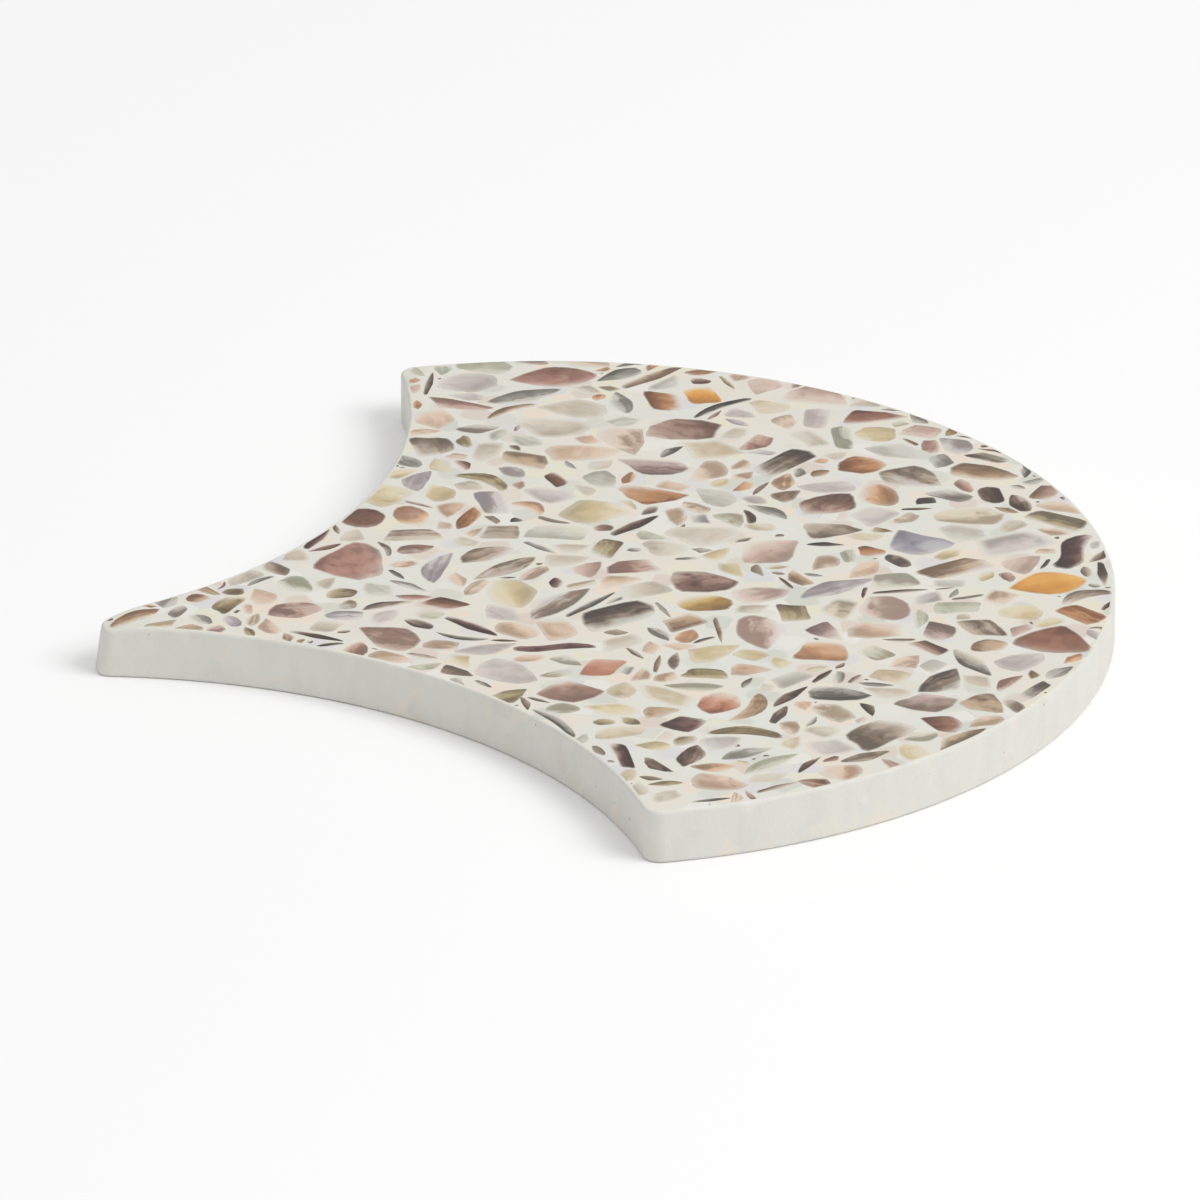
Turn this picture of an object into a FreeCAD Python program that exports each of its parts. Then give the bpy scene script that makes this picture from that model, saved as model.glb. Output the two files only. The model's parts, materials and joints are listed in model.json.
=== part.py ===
"""Fish scale tile of polished shell terrazzo, one cast piece, in millimetres.

The tile lies on its bedding face. The origin is on that face, at the centre of the half-round head.
+Y runs along the tile from its tip to its round head, +X across it, +Z up to the polished face.
"""
import FreeCAD, Part
import os
from enum import IntEnum

import Sketcher

DRIVING_SIZES = (
    ("head_radius", "62.5", "radius of the half-round head, half the width of the tile"),
    ("joint_width", "1.5", "joint left between a head and the hollow flank that takes it"),
    ("shoulder_length", "3", "straight side between the head and the hollow flank"),
    ("tip_width", "3", "width of the blunt tip between the two hollow flanks"),
    ("tile_thickness", "6", "bedding face to polished face"),
    ("shoulder_round", "2", "upright corner between shoulder and hollow flank"),
    ("tip_round", "1.3", "upright corners of the blunt tip"),
    ("tip_lean", "1", "how far the end of the tip leans in from bedding face to polished face"),
    ("tip_fall", "1.2", "how far the polished face falls away at the end of the tip"),
    ("tip_fall_length", "6", "length over which the polished face falls away"),
    ("face_arris", "0.4", "eased edge round the polished face"),
    ("bed_arris", "0.4", "eased edge round the bedding face"),
)

# The tip ends where the two flanks, each on its own circle, come within the tip's width of each other.
WORKED_OUT_SIZES = (
    ("flank_radius", "=head_radius + joint_width", "radius of a hollow flank"),
    ("flank_across", "=head_radius + joint_width / 2", "axis of the tile to the centre of a flank"),
    ("flank_behind", "=flank_radius + shoulder_length", "centre of the head to the centre of a flank"),
    ("tip_inset", "=flank_across - tip_width / 2", "centre of a flank to the corner of the tip, across"),
    ("tip_reach", "=flank_behind - sqrt(flank_radius^2 - tip_inset^2)", "centre of the head to the tip"),
)

# A point or line of the sketch itself, as a constraint names it.
ORIGIN_POINT = (-1, 1)
Y_AXIS = (-2,)

# The edges of the scale, and those of the tip seen from the side, in the order in which they are drawn.
Edge = IntEnum("Edge", "HEAD RIGHT_SHOULDER RIGHT_FLANK TIP LEFT_FLANK LEFT_SHOULDER", start=0)
Side = IntEnum("Side", "FALL END ABOVE", start=0)

# The places on an edge.
At = IntEnum("At", "START END CENTRE")


def write_sizes(doc):
    """Put the driving sizes and those worked out from them in a sheet, one to a row, and return the sheet."""
    sheet = doc.addObject("Spreadsheet::Sheet", "Sizes")
    for row, (alias, value, meaning) in enumerate(DRIVING_SIZES + WORKED_OUT_SIZES, start=1):
        sheet.set(f"A{row}", meaning)
        sheet.set(f"B{row}", value)
        sheet.setAlias(f"B{row}", alias)
    doc.recompute()
    return sheet


def rough_outline(sizes):
    """Return the six edges of the scale, head first and then clockwise, near their final places."""
    up = FreeCAD.Vector(0, 0, 1)
    head = sizes.head_radius
    half_tip = sizes.tip_width / 2

    right_head = FreeCAD.Vector(head, 0, 0)
    right_corner = FreeCAD.Vector(head, -sizes.shoulder_length, 0)
    right_tip = FreeCAD.Vector(half_tip, -sizes.tip_reach, 0)
    left_tip = FreeCAD.Vector(-half_tip, -sizes.tip_reach, 0)
    left_corner = FreeCAD.Vector(-head, -sizes.shoulder_length, 0)
    left_head = FreeCAD.Vector(-head, 0, 0)
    right_flank = FreeCAD.Vector(sizes.flank_across, -sizes.flank_behind, 0)
    left_flank = FreeCAD.Vector(-sizes.flank_across, -sizes.flank_behind, 0)

    def arc(centre, radius, first, last):
        """Return the arc that runs counter-clockwise about the centre from first to last."""
        circle = Part.Circle(centre, up, radius)
        return Part.ArcOfCircle(circle, circle.parameter(first), circle.parameter(last))

    return [
        arc(FreeCAD.Vector(0, 0, 0), head, right_head, left_head),
        Part.LineSegment(right_head, right_corner),
        arc(right_flank, sizes.flank_radius, right_corner, right_tip),
        Part.LineSegment(right_tip, left_tip),
        arc(left_flank, sizes.flank_radius, left_tip, left_corner),
        Part.LineSegment(left_corner, left_head),
    ]


def plane(body, role):
    """Return the plane of the body's frame that has the given role."""
    return next(feature for feature in body.Origin.OriginFeatures if feature.Role == role)


def new_sketch(body, name, role, edges):
    """Draw edges on a plane of the body's frame and return the sketch."""
    sketch = body.newObject("Sketcher::SketchObject", name)
    sketch.AttachmentSupport = [(plane(body, role), "")]
    sketch.MapMode = "FlatFace"
    sketch.addGeometry(edges, False)
    return sketch


def bind(sketch, bound_sizes):
    """Add constraints that take their sizes from the sheet, each under its own name."""
    for name, expression, rule in bound_sizes:
        value = sketch.evalExpression(expression)
        sketch.renameConstraint(sketch.addConstraint(Sketcher.Constraint(*rule, value)), name)
        sketch.setExpression(f"Constraints.{name}", expression)


def draw_scale(body, sizes):
    """Draw the scale on the bedding plane, held by its constraints and bound to the sizes."""
    sketch = new_sketch(body, "ScaleOutline", "XY_Plane", rough_outline(sizes))

    def hold(*rule):
        """Add one constraint to the outline."""
        sketch.addConstraint(Sketcher.Constraint(*rule))

    hold("Coincident", Edge.RIGHT_SHOULDER, At.END, Edge.RIGHT_FLANK, At.START)
    hold("Coincident", Edge.RIGHT_FLANK, At.END, Edge.TIP, At.START)
    hold("Coincident", Edge.TIP, At.END, Edge.LEFT_FLANK, At.START)
    hold("Coincident", Edge.LEFT_FLANK, At.END, Edge.LEFT_SHOULDER, At.START)

    # The head is centred on the origin and turns smoothly into each shoulder.
    hold("Coincident", Edge.HEAD, At.CENTRE, *ORIGIN_POINT)
    hold("Tangent", Edge.HEAD, At.START, Edge.RIGHT_SHOULDER, At.START)
    hold("Tangent", Edge.HEAD, At.END, Edge.LEFT_SHOULDER, At.END)
    hold("Vertical", Edge.RIGHT_SHOULDER)
    hold("Vertical", Edge.LEFT_SHOULDER)

    # The tip is square to the axis and the two flanks mirror each other.
    hold("Symmetric", Edge.TIP, At.START, Edge.TIP, At.END, *Y_AXIS)
    hold("Symmetric", Edge.RIGHT_FLANK, At.CENTRE, Edge.LEFT_FLANK, At.CENTRE, *Y_AXIS)

    # A flank is centred on the head of the next scale and stands one joint outside it.
    bind(sketch, (
        ("head", "Sizes.head_radius", ("Radius", Edge.HEAD)),
        ("flank", "Sizes.flank_radius", ("Radius", Edge.RIGHT_FLANK)),
        ("across", "Sizes.flank_across", ("DistanceX", *ORIGIN_POINT, Edge.RIGHT_FLANK, At.CENTRE)),
        ("behind", "Sizes.flank_behind", ("DistanceY", Edge.RIGHT_FLANK, At.CENTRE, *ORIGIN_POINT)),
        ("tip", "Sizes.tip_width", ("DistanceX", Edge.TIP, At.END, Edge.TIP, At.START)),
    ))
    return sketch


def draw_fall(body, sizes):
    """Draw, from the side, what is polished away at the tip: all above an arc that leaves the face level."""
    top = sizes.tile_thickness
    fall = sizes.tip_fall
    length = sizes.tip_fall_length
    radius = (length**2 + fall**2) / (2 * fall)
    start = FreeCAD.Vector(length - sizes.tip_reach, top, 0)
    end = FreeCAD.Vector(-sizes.tip_reach, top - fall, 0)
    above = FreeCAD.Vector(-sizes.tip_reach, top + fall, 0)
    circle = Part.Circle(start - FreeCAD.Vector(0, radius, 0), FreeCAD.Vector(0, 0, 1), radius)
    sketch = new_sketch(body, "TipProfile", "YZ_Plane", [
        Part.ArcOfCircle(circle, circle.parameter(start), circle.parameter(end)),
        Part.LineSegment(end, above),
        Part.LineSegment(above, start),
    ])

    def hold(*rule):
        """Add one constraint to the profile."""
        sketch.addConstraint(Sketcher.Constraint(*rule))

    hold("Coincident", Side.FALL, At.END, Side.END, At.START)
    hold("Coincident", Side.END, At.END, Side.ABOVE, At.START)
    hold("Coincident", Side.ABOVE, At.END, Side.FALL, At.START)
    hold("Vertical", Side.END)
    hold("Vertical", Side.FALL, At.CENTRE, Side.FALL, At.START)
    bind(sketch, (
        ("top", "Sizes.tile_thickness", ("DistanceY", *ORIGIN_POINT, Side.FALL, At.START)),
        ("reach", "Sizes.tip_reach", ("DistanceX", Side.FALL, At.END, *ORIGIN_POINT)),
        ("length", "Sizes.tip_fall_length", ("DistanceX", Side.FALL, At.END, Side.FALL, At.START)),
        ("fall", "Sizes.tip_fall", ("DistanceY", Side.FALL, At.END, Side.FALL, At.START)),
        ("clear", "Sizes.tip_fall", ("DistanceY", Side.FALL, At.START, Side.END, At.END)),
    ))
    return sketch


def named(kind, items, chosen):
    """Return the names of the faces or edges whose box the given test chooses."""
    return [f"{kind}{number}" for number, item in enumerate(items, start=1) if chosen(item.BoundBox)]


def lean_tip(slab, sizes):
    """Lean the end of the tip in, from its full reach at the bedding face."""
    body = slab.getParentGeoFeatureGroup()
    end = named("Face", slab.Shape.Faces, lambda box: box.YMax < -sizes.head_radius / 2)
    lean = body.newObject("PartDesign::Draft", "LeaningTip")
    lean.Base = (slab, end)
    lean.NeutralPlane = (plane(body, "XY_Plane"), [""])
    lean.setExpression("Angle", "atan(Sizes.tip_lean / Sizes.tile_thickness)")
    body.Document.recompute()
    return lean


def polish_tip(base, sizes):
    """Polish the face away towards the end of the tip, all across the tile."""
    body = base.getParentGeoFeatureGroup()
    fall = body.newObject("PartDesign::Pocket", "FallingTip")
    fall.Profile = draw_fall(body, sizes)
    fall.Type = "ThroughAll"
    fall.SideType = "Symmetric"
    body.Document.recompute()
    return fall


def ease(base, name, edges, radius):
    """Round the named edges of a feature by a radius that the sizes give."""
    body = base.getParentGeoFeatureGroup()
    fillet = body.newObject("PartDesign::Fillet", name)
    fillet.Base = (base, edges)
    fillet.setExpression("Radius", radius)
    body.Document.recompute()
    return fillet


def make_tile(doc, sizes):
    """Cast the tile: raise the outline, shape its tip, round its upright corners and ease both rims."""
    body = doc.addObject("PartDesign::Body", "FishScaleTile")
    body.Label = "fish_scale_tile"
    body.Placement = FreeCAD.Placement()
    outline = draw_scale(body, sizes)
    slab = body.newObject("PartDesign::Pad", "Slab")
    slab.Profile = outline
    slab.setExpression("Length", "Sizes.tile_thickness")
    doc.recompute()
    lean = lean_tip(slab, sizes)

    mid_height = sizes.tile_thickness / 2
    half_head = sizes.head_radius / 2
    half_shoulder = sizes.shoulder_length / 2

    def at_tip(box):
        """Tell an upright corner of the tip."""
        return box.ZLength > mid_height and box.YMax < -half_head

    def at_shoulder(box):
        """Tell an upright corner between a shoulder and its flank."""
        return box.ZLength > mid_height and -half_head < box.YMax < -half_shoulder

    def on_face_rim(box):
        """Tell an edge round the polished face, but not the line across it where it begins to fall."""
        still_level = box.ZMin > sizes.tile_thickness - sizes.tip_fall / 2
        begins_to_fall = still_level and box.YLength < sizes.face_arris
        return box.ZMin > mid_height and not begins_to_fall

    # Each upright corner is held to the flat beside it: the blunt tip, or the shoulder below the head.
    tip_round = "min(Sizes.tip_round; Sizes.tip_width / 2)"
    tip = ease(lean, "TipCorners", named("Edge", lean.Shape.Edges, at_tip), tip_round)
    shoulder_round = "min(Sizes.shoulder_round; Sizes.shoulder_length - Sizes.face_arris)"
    shoulder = ease(tip, "ShoulderCorners", named("Edge", tip.Shape.Edges, at_shoulder), shoulder_round)
    fall = polish_tip(shoulder, sizes)
    face = ease(fall, "FaceArris", named("Edge", fall.Shape.Edges, on_face_rim), "Sizes.face_arris")
    bed_rim = named("Edge", face.Shape.Edges, lambda box: box.ZMax < mid_height)
    ease(face, "BedArris", bed_rim, "Sizes.bed_arris")
    return body


def write_parts(doc, bodies):
    """Check every object and shape, then write each body to its own file."""
    failed = [item.Name for item in doc.Objects if {"Invalid", "Error"} & set(item.State)]
    if failed:
        raise RuntimeError(f"these features failed: {failed}")
    for body in bodies:
        if body.Shape.isNull() or not body.Shape.isValid() or len(body.Shape.Solids) != 1:
            raise RuntimeError(f"{body.Label} is not one valid solid")
    os.makedirs("parts", exist_ok=True)
    for body in bodies:
        body.Shape.exportStep(f"parts/{body.Label}.step")
        box = body.Shape.optimalBoundingBox(False, False)
        print(f"{body.Label}: {box.XLength:.2f} x {box.YLength:.2f} x {box.ZLength:.2f} mm")
        print(f"{body.Label}: volume {body.Shape.Volume:.0f} mm3, {len(body.Shape.Faces)} faces")


doc = FreeCAD.newDocument("FishScaleTile")
sizes = write_sizes(doc)
tile = make_tile(doc, sizes)
doc.recompute()
write_parts(doc, [tile])
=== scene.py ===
"""Fish scale tile of polished shell terrazzo.

The cast tile comes from the frame and keeps its shape. This script gives the cast binder its finish, beds
chips of shell in the polished face, and sets the tile on a pale floor in soft light.
"""

import json
import logging
import math
from collections.abc import Iterable, Sequence
from dataclasses import dataclass, replace
from enum import Enum
from typing import Any

import bpy
import numpy as np
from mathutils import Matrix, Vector

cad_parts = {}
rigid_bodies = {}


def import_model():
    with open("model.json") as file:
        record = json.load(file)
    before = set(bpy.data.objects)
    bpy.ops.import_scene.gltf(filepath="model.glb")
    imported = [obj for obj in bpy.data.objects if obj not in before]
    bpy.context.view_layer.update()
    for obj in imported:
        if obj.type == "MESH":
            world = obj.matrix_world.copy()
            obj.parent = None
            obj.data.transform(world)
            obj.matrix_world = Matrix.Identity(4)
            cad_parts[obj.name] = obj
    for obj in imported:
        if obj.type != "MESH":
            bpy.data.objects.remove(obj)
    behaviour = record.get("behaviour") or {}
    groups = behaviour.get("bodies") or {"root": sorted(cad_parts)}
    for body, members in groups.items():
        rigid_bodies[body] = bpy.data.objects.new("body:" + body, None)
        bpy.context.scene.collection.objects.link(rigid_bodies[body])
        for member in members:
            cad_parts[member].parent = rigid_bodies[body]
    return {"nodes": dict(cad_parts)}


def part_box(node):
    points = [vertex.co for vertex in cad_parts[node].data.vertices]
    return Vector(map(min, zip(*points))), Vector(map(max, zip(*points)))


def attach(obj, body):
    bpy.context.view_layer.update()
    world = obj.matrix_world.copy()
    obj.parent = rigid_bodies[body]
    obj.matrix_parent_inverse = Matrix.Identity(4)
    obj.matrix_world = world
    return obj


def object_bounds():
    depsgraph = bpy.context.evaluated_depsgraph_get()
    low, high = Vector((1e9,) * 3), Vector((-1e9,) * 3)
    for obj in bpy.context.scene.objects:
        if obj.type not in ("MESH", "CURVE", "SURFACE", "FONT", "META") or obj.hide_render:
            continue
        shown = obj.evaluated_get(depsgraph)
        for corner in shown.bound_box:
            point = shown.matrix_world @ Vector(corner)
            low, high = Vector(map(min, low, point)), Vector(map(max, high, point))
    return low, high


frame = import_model()
CAD_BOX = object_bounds()

LOG = logging.getLogger("fish_scale_tile")
TILE_NODE = "fish_scale_tile"
TILE_BODY = "root"
MM = 0.001
SEED = 41

Rgb = tuple[int, int, int]


def linear(tone: Rgb, gain: float = 1.0) -> tuple[float, float, float, float]:
    """Turn a tone as the eye reads it, 0 to 255, into a linear colour.

    Args:
        tone: Red, green and blue.
        gain: What the linear colour is multiplied by.

    Returns:
        Linear red, green, blue and an alpha of 1.
    """
    parts = [part / 255 for part in tone]
    lit = [part / 12.92 if part <= 0.04045 else ((part + 0.055) / 1.055) ** 2.4 for part in parts]
    return tuple(min(part * gain, 1.0) for part in lit) + (1.0,)


class Tone(Enum):
    """The colours of the shell, each with its light and its dark side."""

    MILK = ((218, 210, 197), (201, 190, 174))
    PEARL = ((211, 208, 199), (190, 185, 175))
    IVORY = ((222, 210, 188), (200, 184, 157))
    CREAM = ((225, 213, 183), (206, 188, 149))
    PALE_PEACH = ((226, 205, 186), (207, 177, 152))
    PALE_PINK = ((218, 197, 185), (190, 162, 149))
    PALE_LILAC = ((213, 205, 201), (192, 182, 179))
    PALE_GREEN = ((208, 207, 191), (178, 177, 157))
    PEACH = ((220, 182, 147), (188, 140, 104))
    TAN = ((198, 172, 145), (150, 121, 96))
    OLIVE = ((180, 165, 128), (126, 110, 80))
    OCHRE = ((206, 173, 106), (166, 130, 76))
    ORANGE = ((232, 176, 92), (216, 150, 66))
    AMBER = ((190, 140, 98), (146, 98, 64))
    BRICK = ((168, 122, 102), (138, 94, 76))
    BRICK_ORANGE = ((204, 152, 128), (178, 118, 94))
    RUST = ((156, 114, 95), (112, 76, 62))
    ROSE = ((203, 172, 159), (164, 127, 115))
    ROSEWOOD = ((178, 148, 135), (122, 91, 79))
    MAUVE_RED = ((183, 138, 124), (142, 100, 88))
    MAUVE = ((192, 170, 165), (144, 119, 115))
    TAUPE = ((186, 169, 153), (130, 113, 99))
    UMBER = ((150, 133, 119), (92, 78, 68))
    GREY = ((199, 195, 187), (142, 137, 129))
    SMOKE = ((168, 163, 154), (104, 98, 90))
    LAVENDER = ((192, 187, 192), (154, 148, 160))
    LAVENDER_GREY = ((208, 202, 201), (168, 160, 162))
    DARK_BROWN = ((128, 104, 89), (78, 61, 51))
    DARK_MAROON = ((134, 100, 93), (84, 58, 54))
    NEAR_BLACK = ((90, 81, 75), (52, 46, 42))

    def deep(self) -> tuple[float, float, float, float]:
        """Give the linear colour of its darkest lines, which in a pale shell stay pale."""
        dark = linear(self.value[1])
        return linear(self.value[1], 0.5 + 0.55 * dark[1])


class Sheen(Enum):
    """The tints that the inner side of shell takes."""

    LILAC = (215, 209, 215)
    BLUSH = (229, 213, 203)
    BUTTER = (231, 223, 202)
    SEA = (215, 221, 211)


class Form(Enum):
    """The outline of a chip where the polished face cuts it."""

    PLATE = 0
    OVAL = 1
    FIN = 2
    BLOCK = 3
    SLIVER = 4
    LENS = 5
    KITE = 6


@dataclass(frozen=True)
class Chip:
    """One chip of shell in the polished face, in millimetres and degrees.

    Attributes:
        across: Place of its middle along X.
        along: Place of its middle along Y.
        length: Longest measure.
        width: Measure square to the length.
        turn: Angle of its length from +Y towards +X.
        form: Outline.
        tone: Colour.
        streak: How strongly its layers show as stripes, 0 to 1.
        soft: How far its rim fades into the binder, 0 to 1.
        cut: Which of the cuts of its form it takes.
        fade: Angle, from its length, towards its dark side, or None where chance decides.
        contrast: How far its light and its dark side part, about 0 to 1, or None where chance decides.
        bias: How far it is darker as a whole, about 0 to 0.3.
        sheen: Tint of its inner side.
        second: Colour that its dark side turns to, where it has one.
    """

    across: float
    along: float
    length: float
    width: float
    turn: float
    form: Form
    tone: Tone
    streak: float = 0.3
    soft: float = 0.0
    cut: int = 0
    fade: float | None = None
    contrast: float | None = None
    bias: float = 0.0
    sheen: Sheen = Sheen.BLUSH
    second: Tone | None = None

    def dark(self) -> tuple[float, float, float, float]:
        """Give the linear colour of its dark side."""
        own = linear(self.tone.value[1])
        if self.second is None:
            return own
        return tuple((mine + other) / 2 for mine, other in zip(own, linear(self.second.value[1])))


@dataclass(frozen=True)
class Sowing:
    """A sort of chip that is strewn between the listed chips.

    Attributes:
        count: How many are tried.
        length: Shortest and longest, in mm.
        slender: Least and greatest share of the length that the width takes.
        forms: Outlines to draw from.
        tones: Colours to draw from.
        streak: Least and greatest strength of stripes.
        soft: Least and greatest fading of the rim.
        gap: Binder left round each, in mm.
    """

    count: int
    length: tuple[float, float]
    slender: tuple[float, float]
    forms: tuple[Form, ...]
    tones: tuple[Tone, ...]
    streak: tuple[float, float]
    soft: tuple[float, float]
    gap: float


PALE_TONES = (
    Tone.MILK, Tone.MILK, Tone.PEARL, Tone.IVORY, Tone.PALE_PEACH, Tone.CREAM, Tone.PALE_PEACH,
    Tone.PALE_LILAC,
)
MID_TONES = (
    Tone.IVORY, Tone.PALE_PEACH, Tone.PALE_PINK, Tone.PALE_PINK, Tone.PALE_GREEN, Tone.PALE_GREEN,
    Tone.PEACH, Tone.PEACH, Tone.TAN, Tone.TAN, Tone.TAN, Tone.TAUPE, Tone.TAUPE, Tone.TAUPE, Tone.GREY,
    Tone.GREY, Tone.ROSE, Tone.ROSE, Tone.OLIVE, Tone.OLIVE, Tone.LAVENDER_GREY, Tone.ROSEWOOD,
)
MIXED_TONES = MID_TONES + (Tone.MAUVE, Tone.SMOKE, Tone.UMBER)
SECOND_TONES = (
    Tone.TAN, Tone.OLIVE, Tone.AMBER, Tone.ROSEWOOD, Tone.SMOKE, Tone.UMBER, Tone.TAUPE, Tone.MAUVE,
)
DARK_TONES = (
    Tone.UMBER, Tone.SMOKE, Tone.TAUPE, Tone.DARK_BROWN, Tone.DARK_MAROON, Tone.ROSEWOOD, Tone.SMOKE,
)
SMALL_TONES = PALE_TONES + MID_TONES
CRUMB_TONES = (Tone.GREY, Tone.TAUPE, Tone.SMOKE, Tone.UMBER, Tone.TAN)
BROAD_FORMS = (Form.PLATE, Form.FIN, Form.KITE, Form.KITE, Form.BLOCK, Form.OVAL)
LONG_FORMS = (Form.SLIVER, Form.LENS)

SOWINGS = (
    Sowing(10, (4.6, 7.0), (0.45, 0.75), BROAD_FORMS, MID_TONES, (0.1, 0.7), (0.0, 0.4), 0.3),
    Sowing(120, (5.0, 10.5), (0.5, 0.85), BROAD_FORMS, PALE_TONES, (0.0, 0.5), (0.3, 1.0), 0.1),
    Sowing(50, (2.6, 5.0), (0.35, 0.7), BROAD_FORMS + LONG_FORMS, MID_TONES, (0.1, 0.8), (0.0, 0.4), 0.25),
    Sowing(110, (3.0, 6.0), (0.5, 0.85), BROAD_FORMS, PALE_TONES, (0.0, 0.5), (0.3, 1.0), 0.1),
    Sowing(28, (1.8, 4.2), (0.16, 0.32), LONG_FORMS, DARK_TONES, (0.2, 0.8), (0.0, 0.2), 0.25),
    Sowing(40, (1.7, 3.2), (0.4, 0.9), BROAD_FORMS, SMALL_TONES, (0.1, 0.6), (0.0, 0.7), 0.25),
    Sowing(30, (0.4, 1.0), (0.4, 0.9), (Form.PLATE, Form.SLIVER), CRUMB_TONES, (0.1, 0.5), (0.0, 0.4), 0.3),
)

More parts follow.
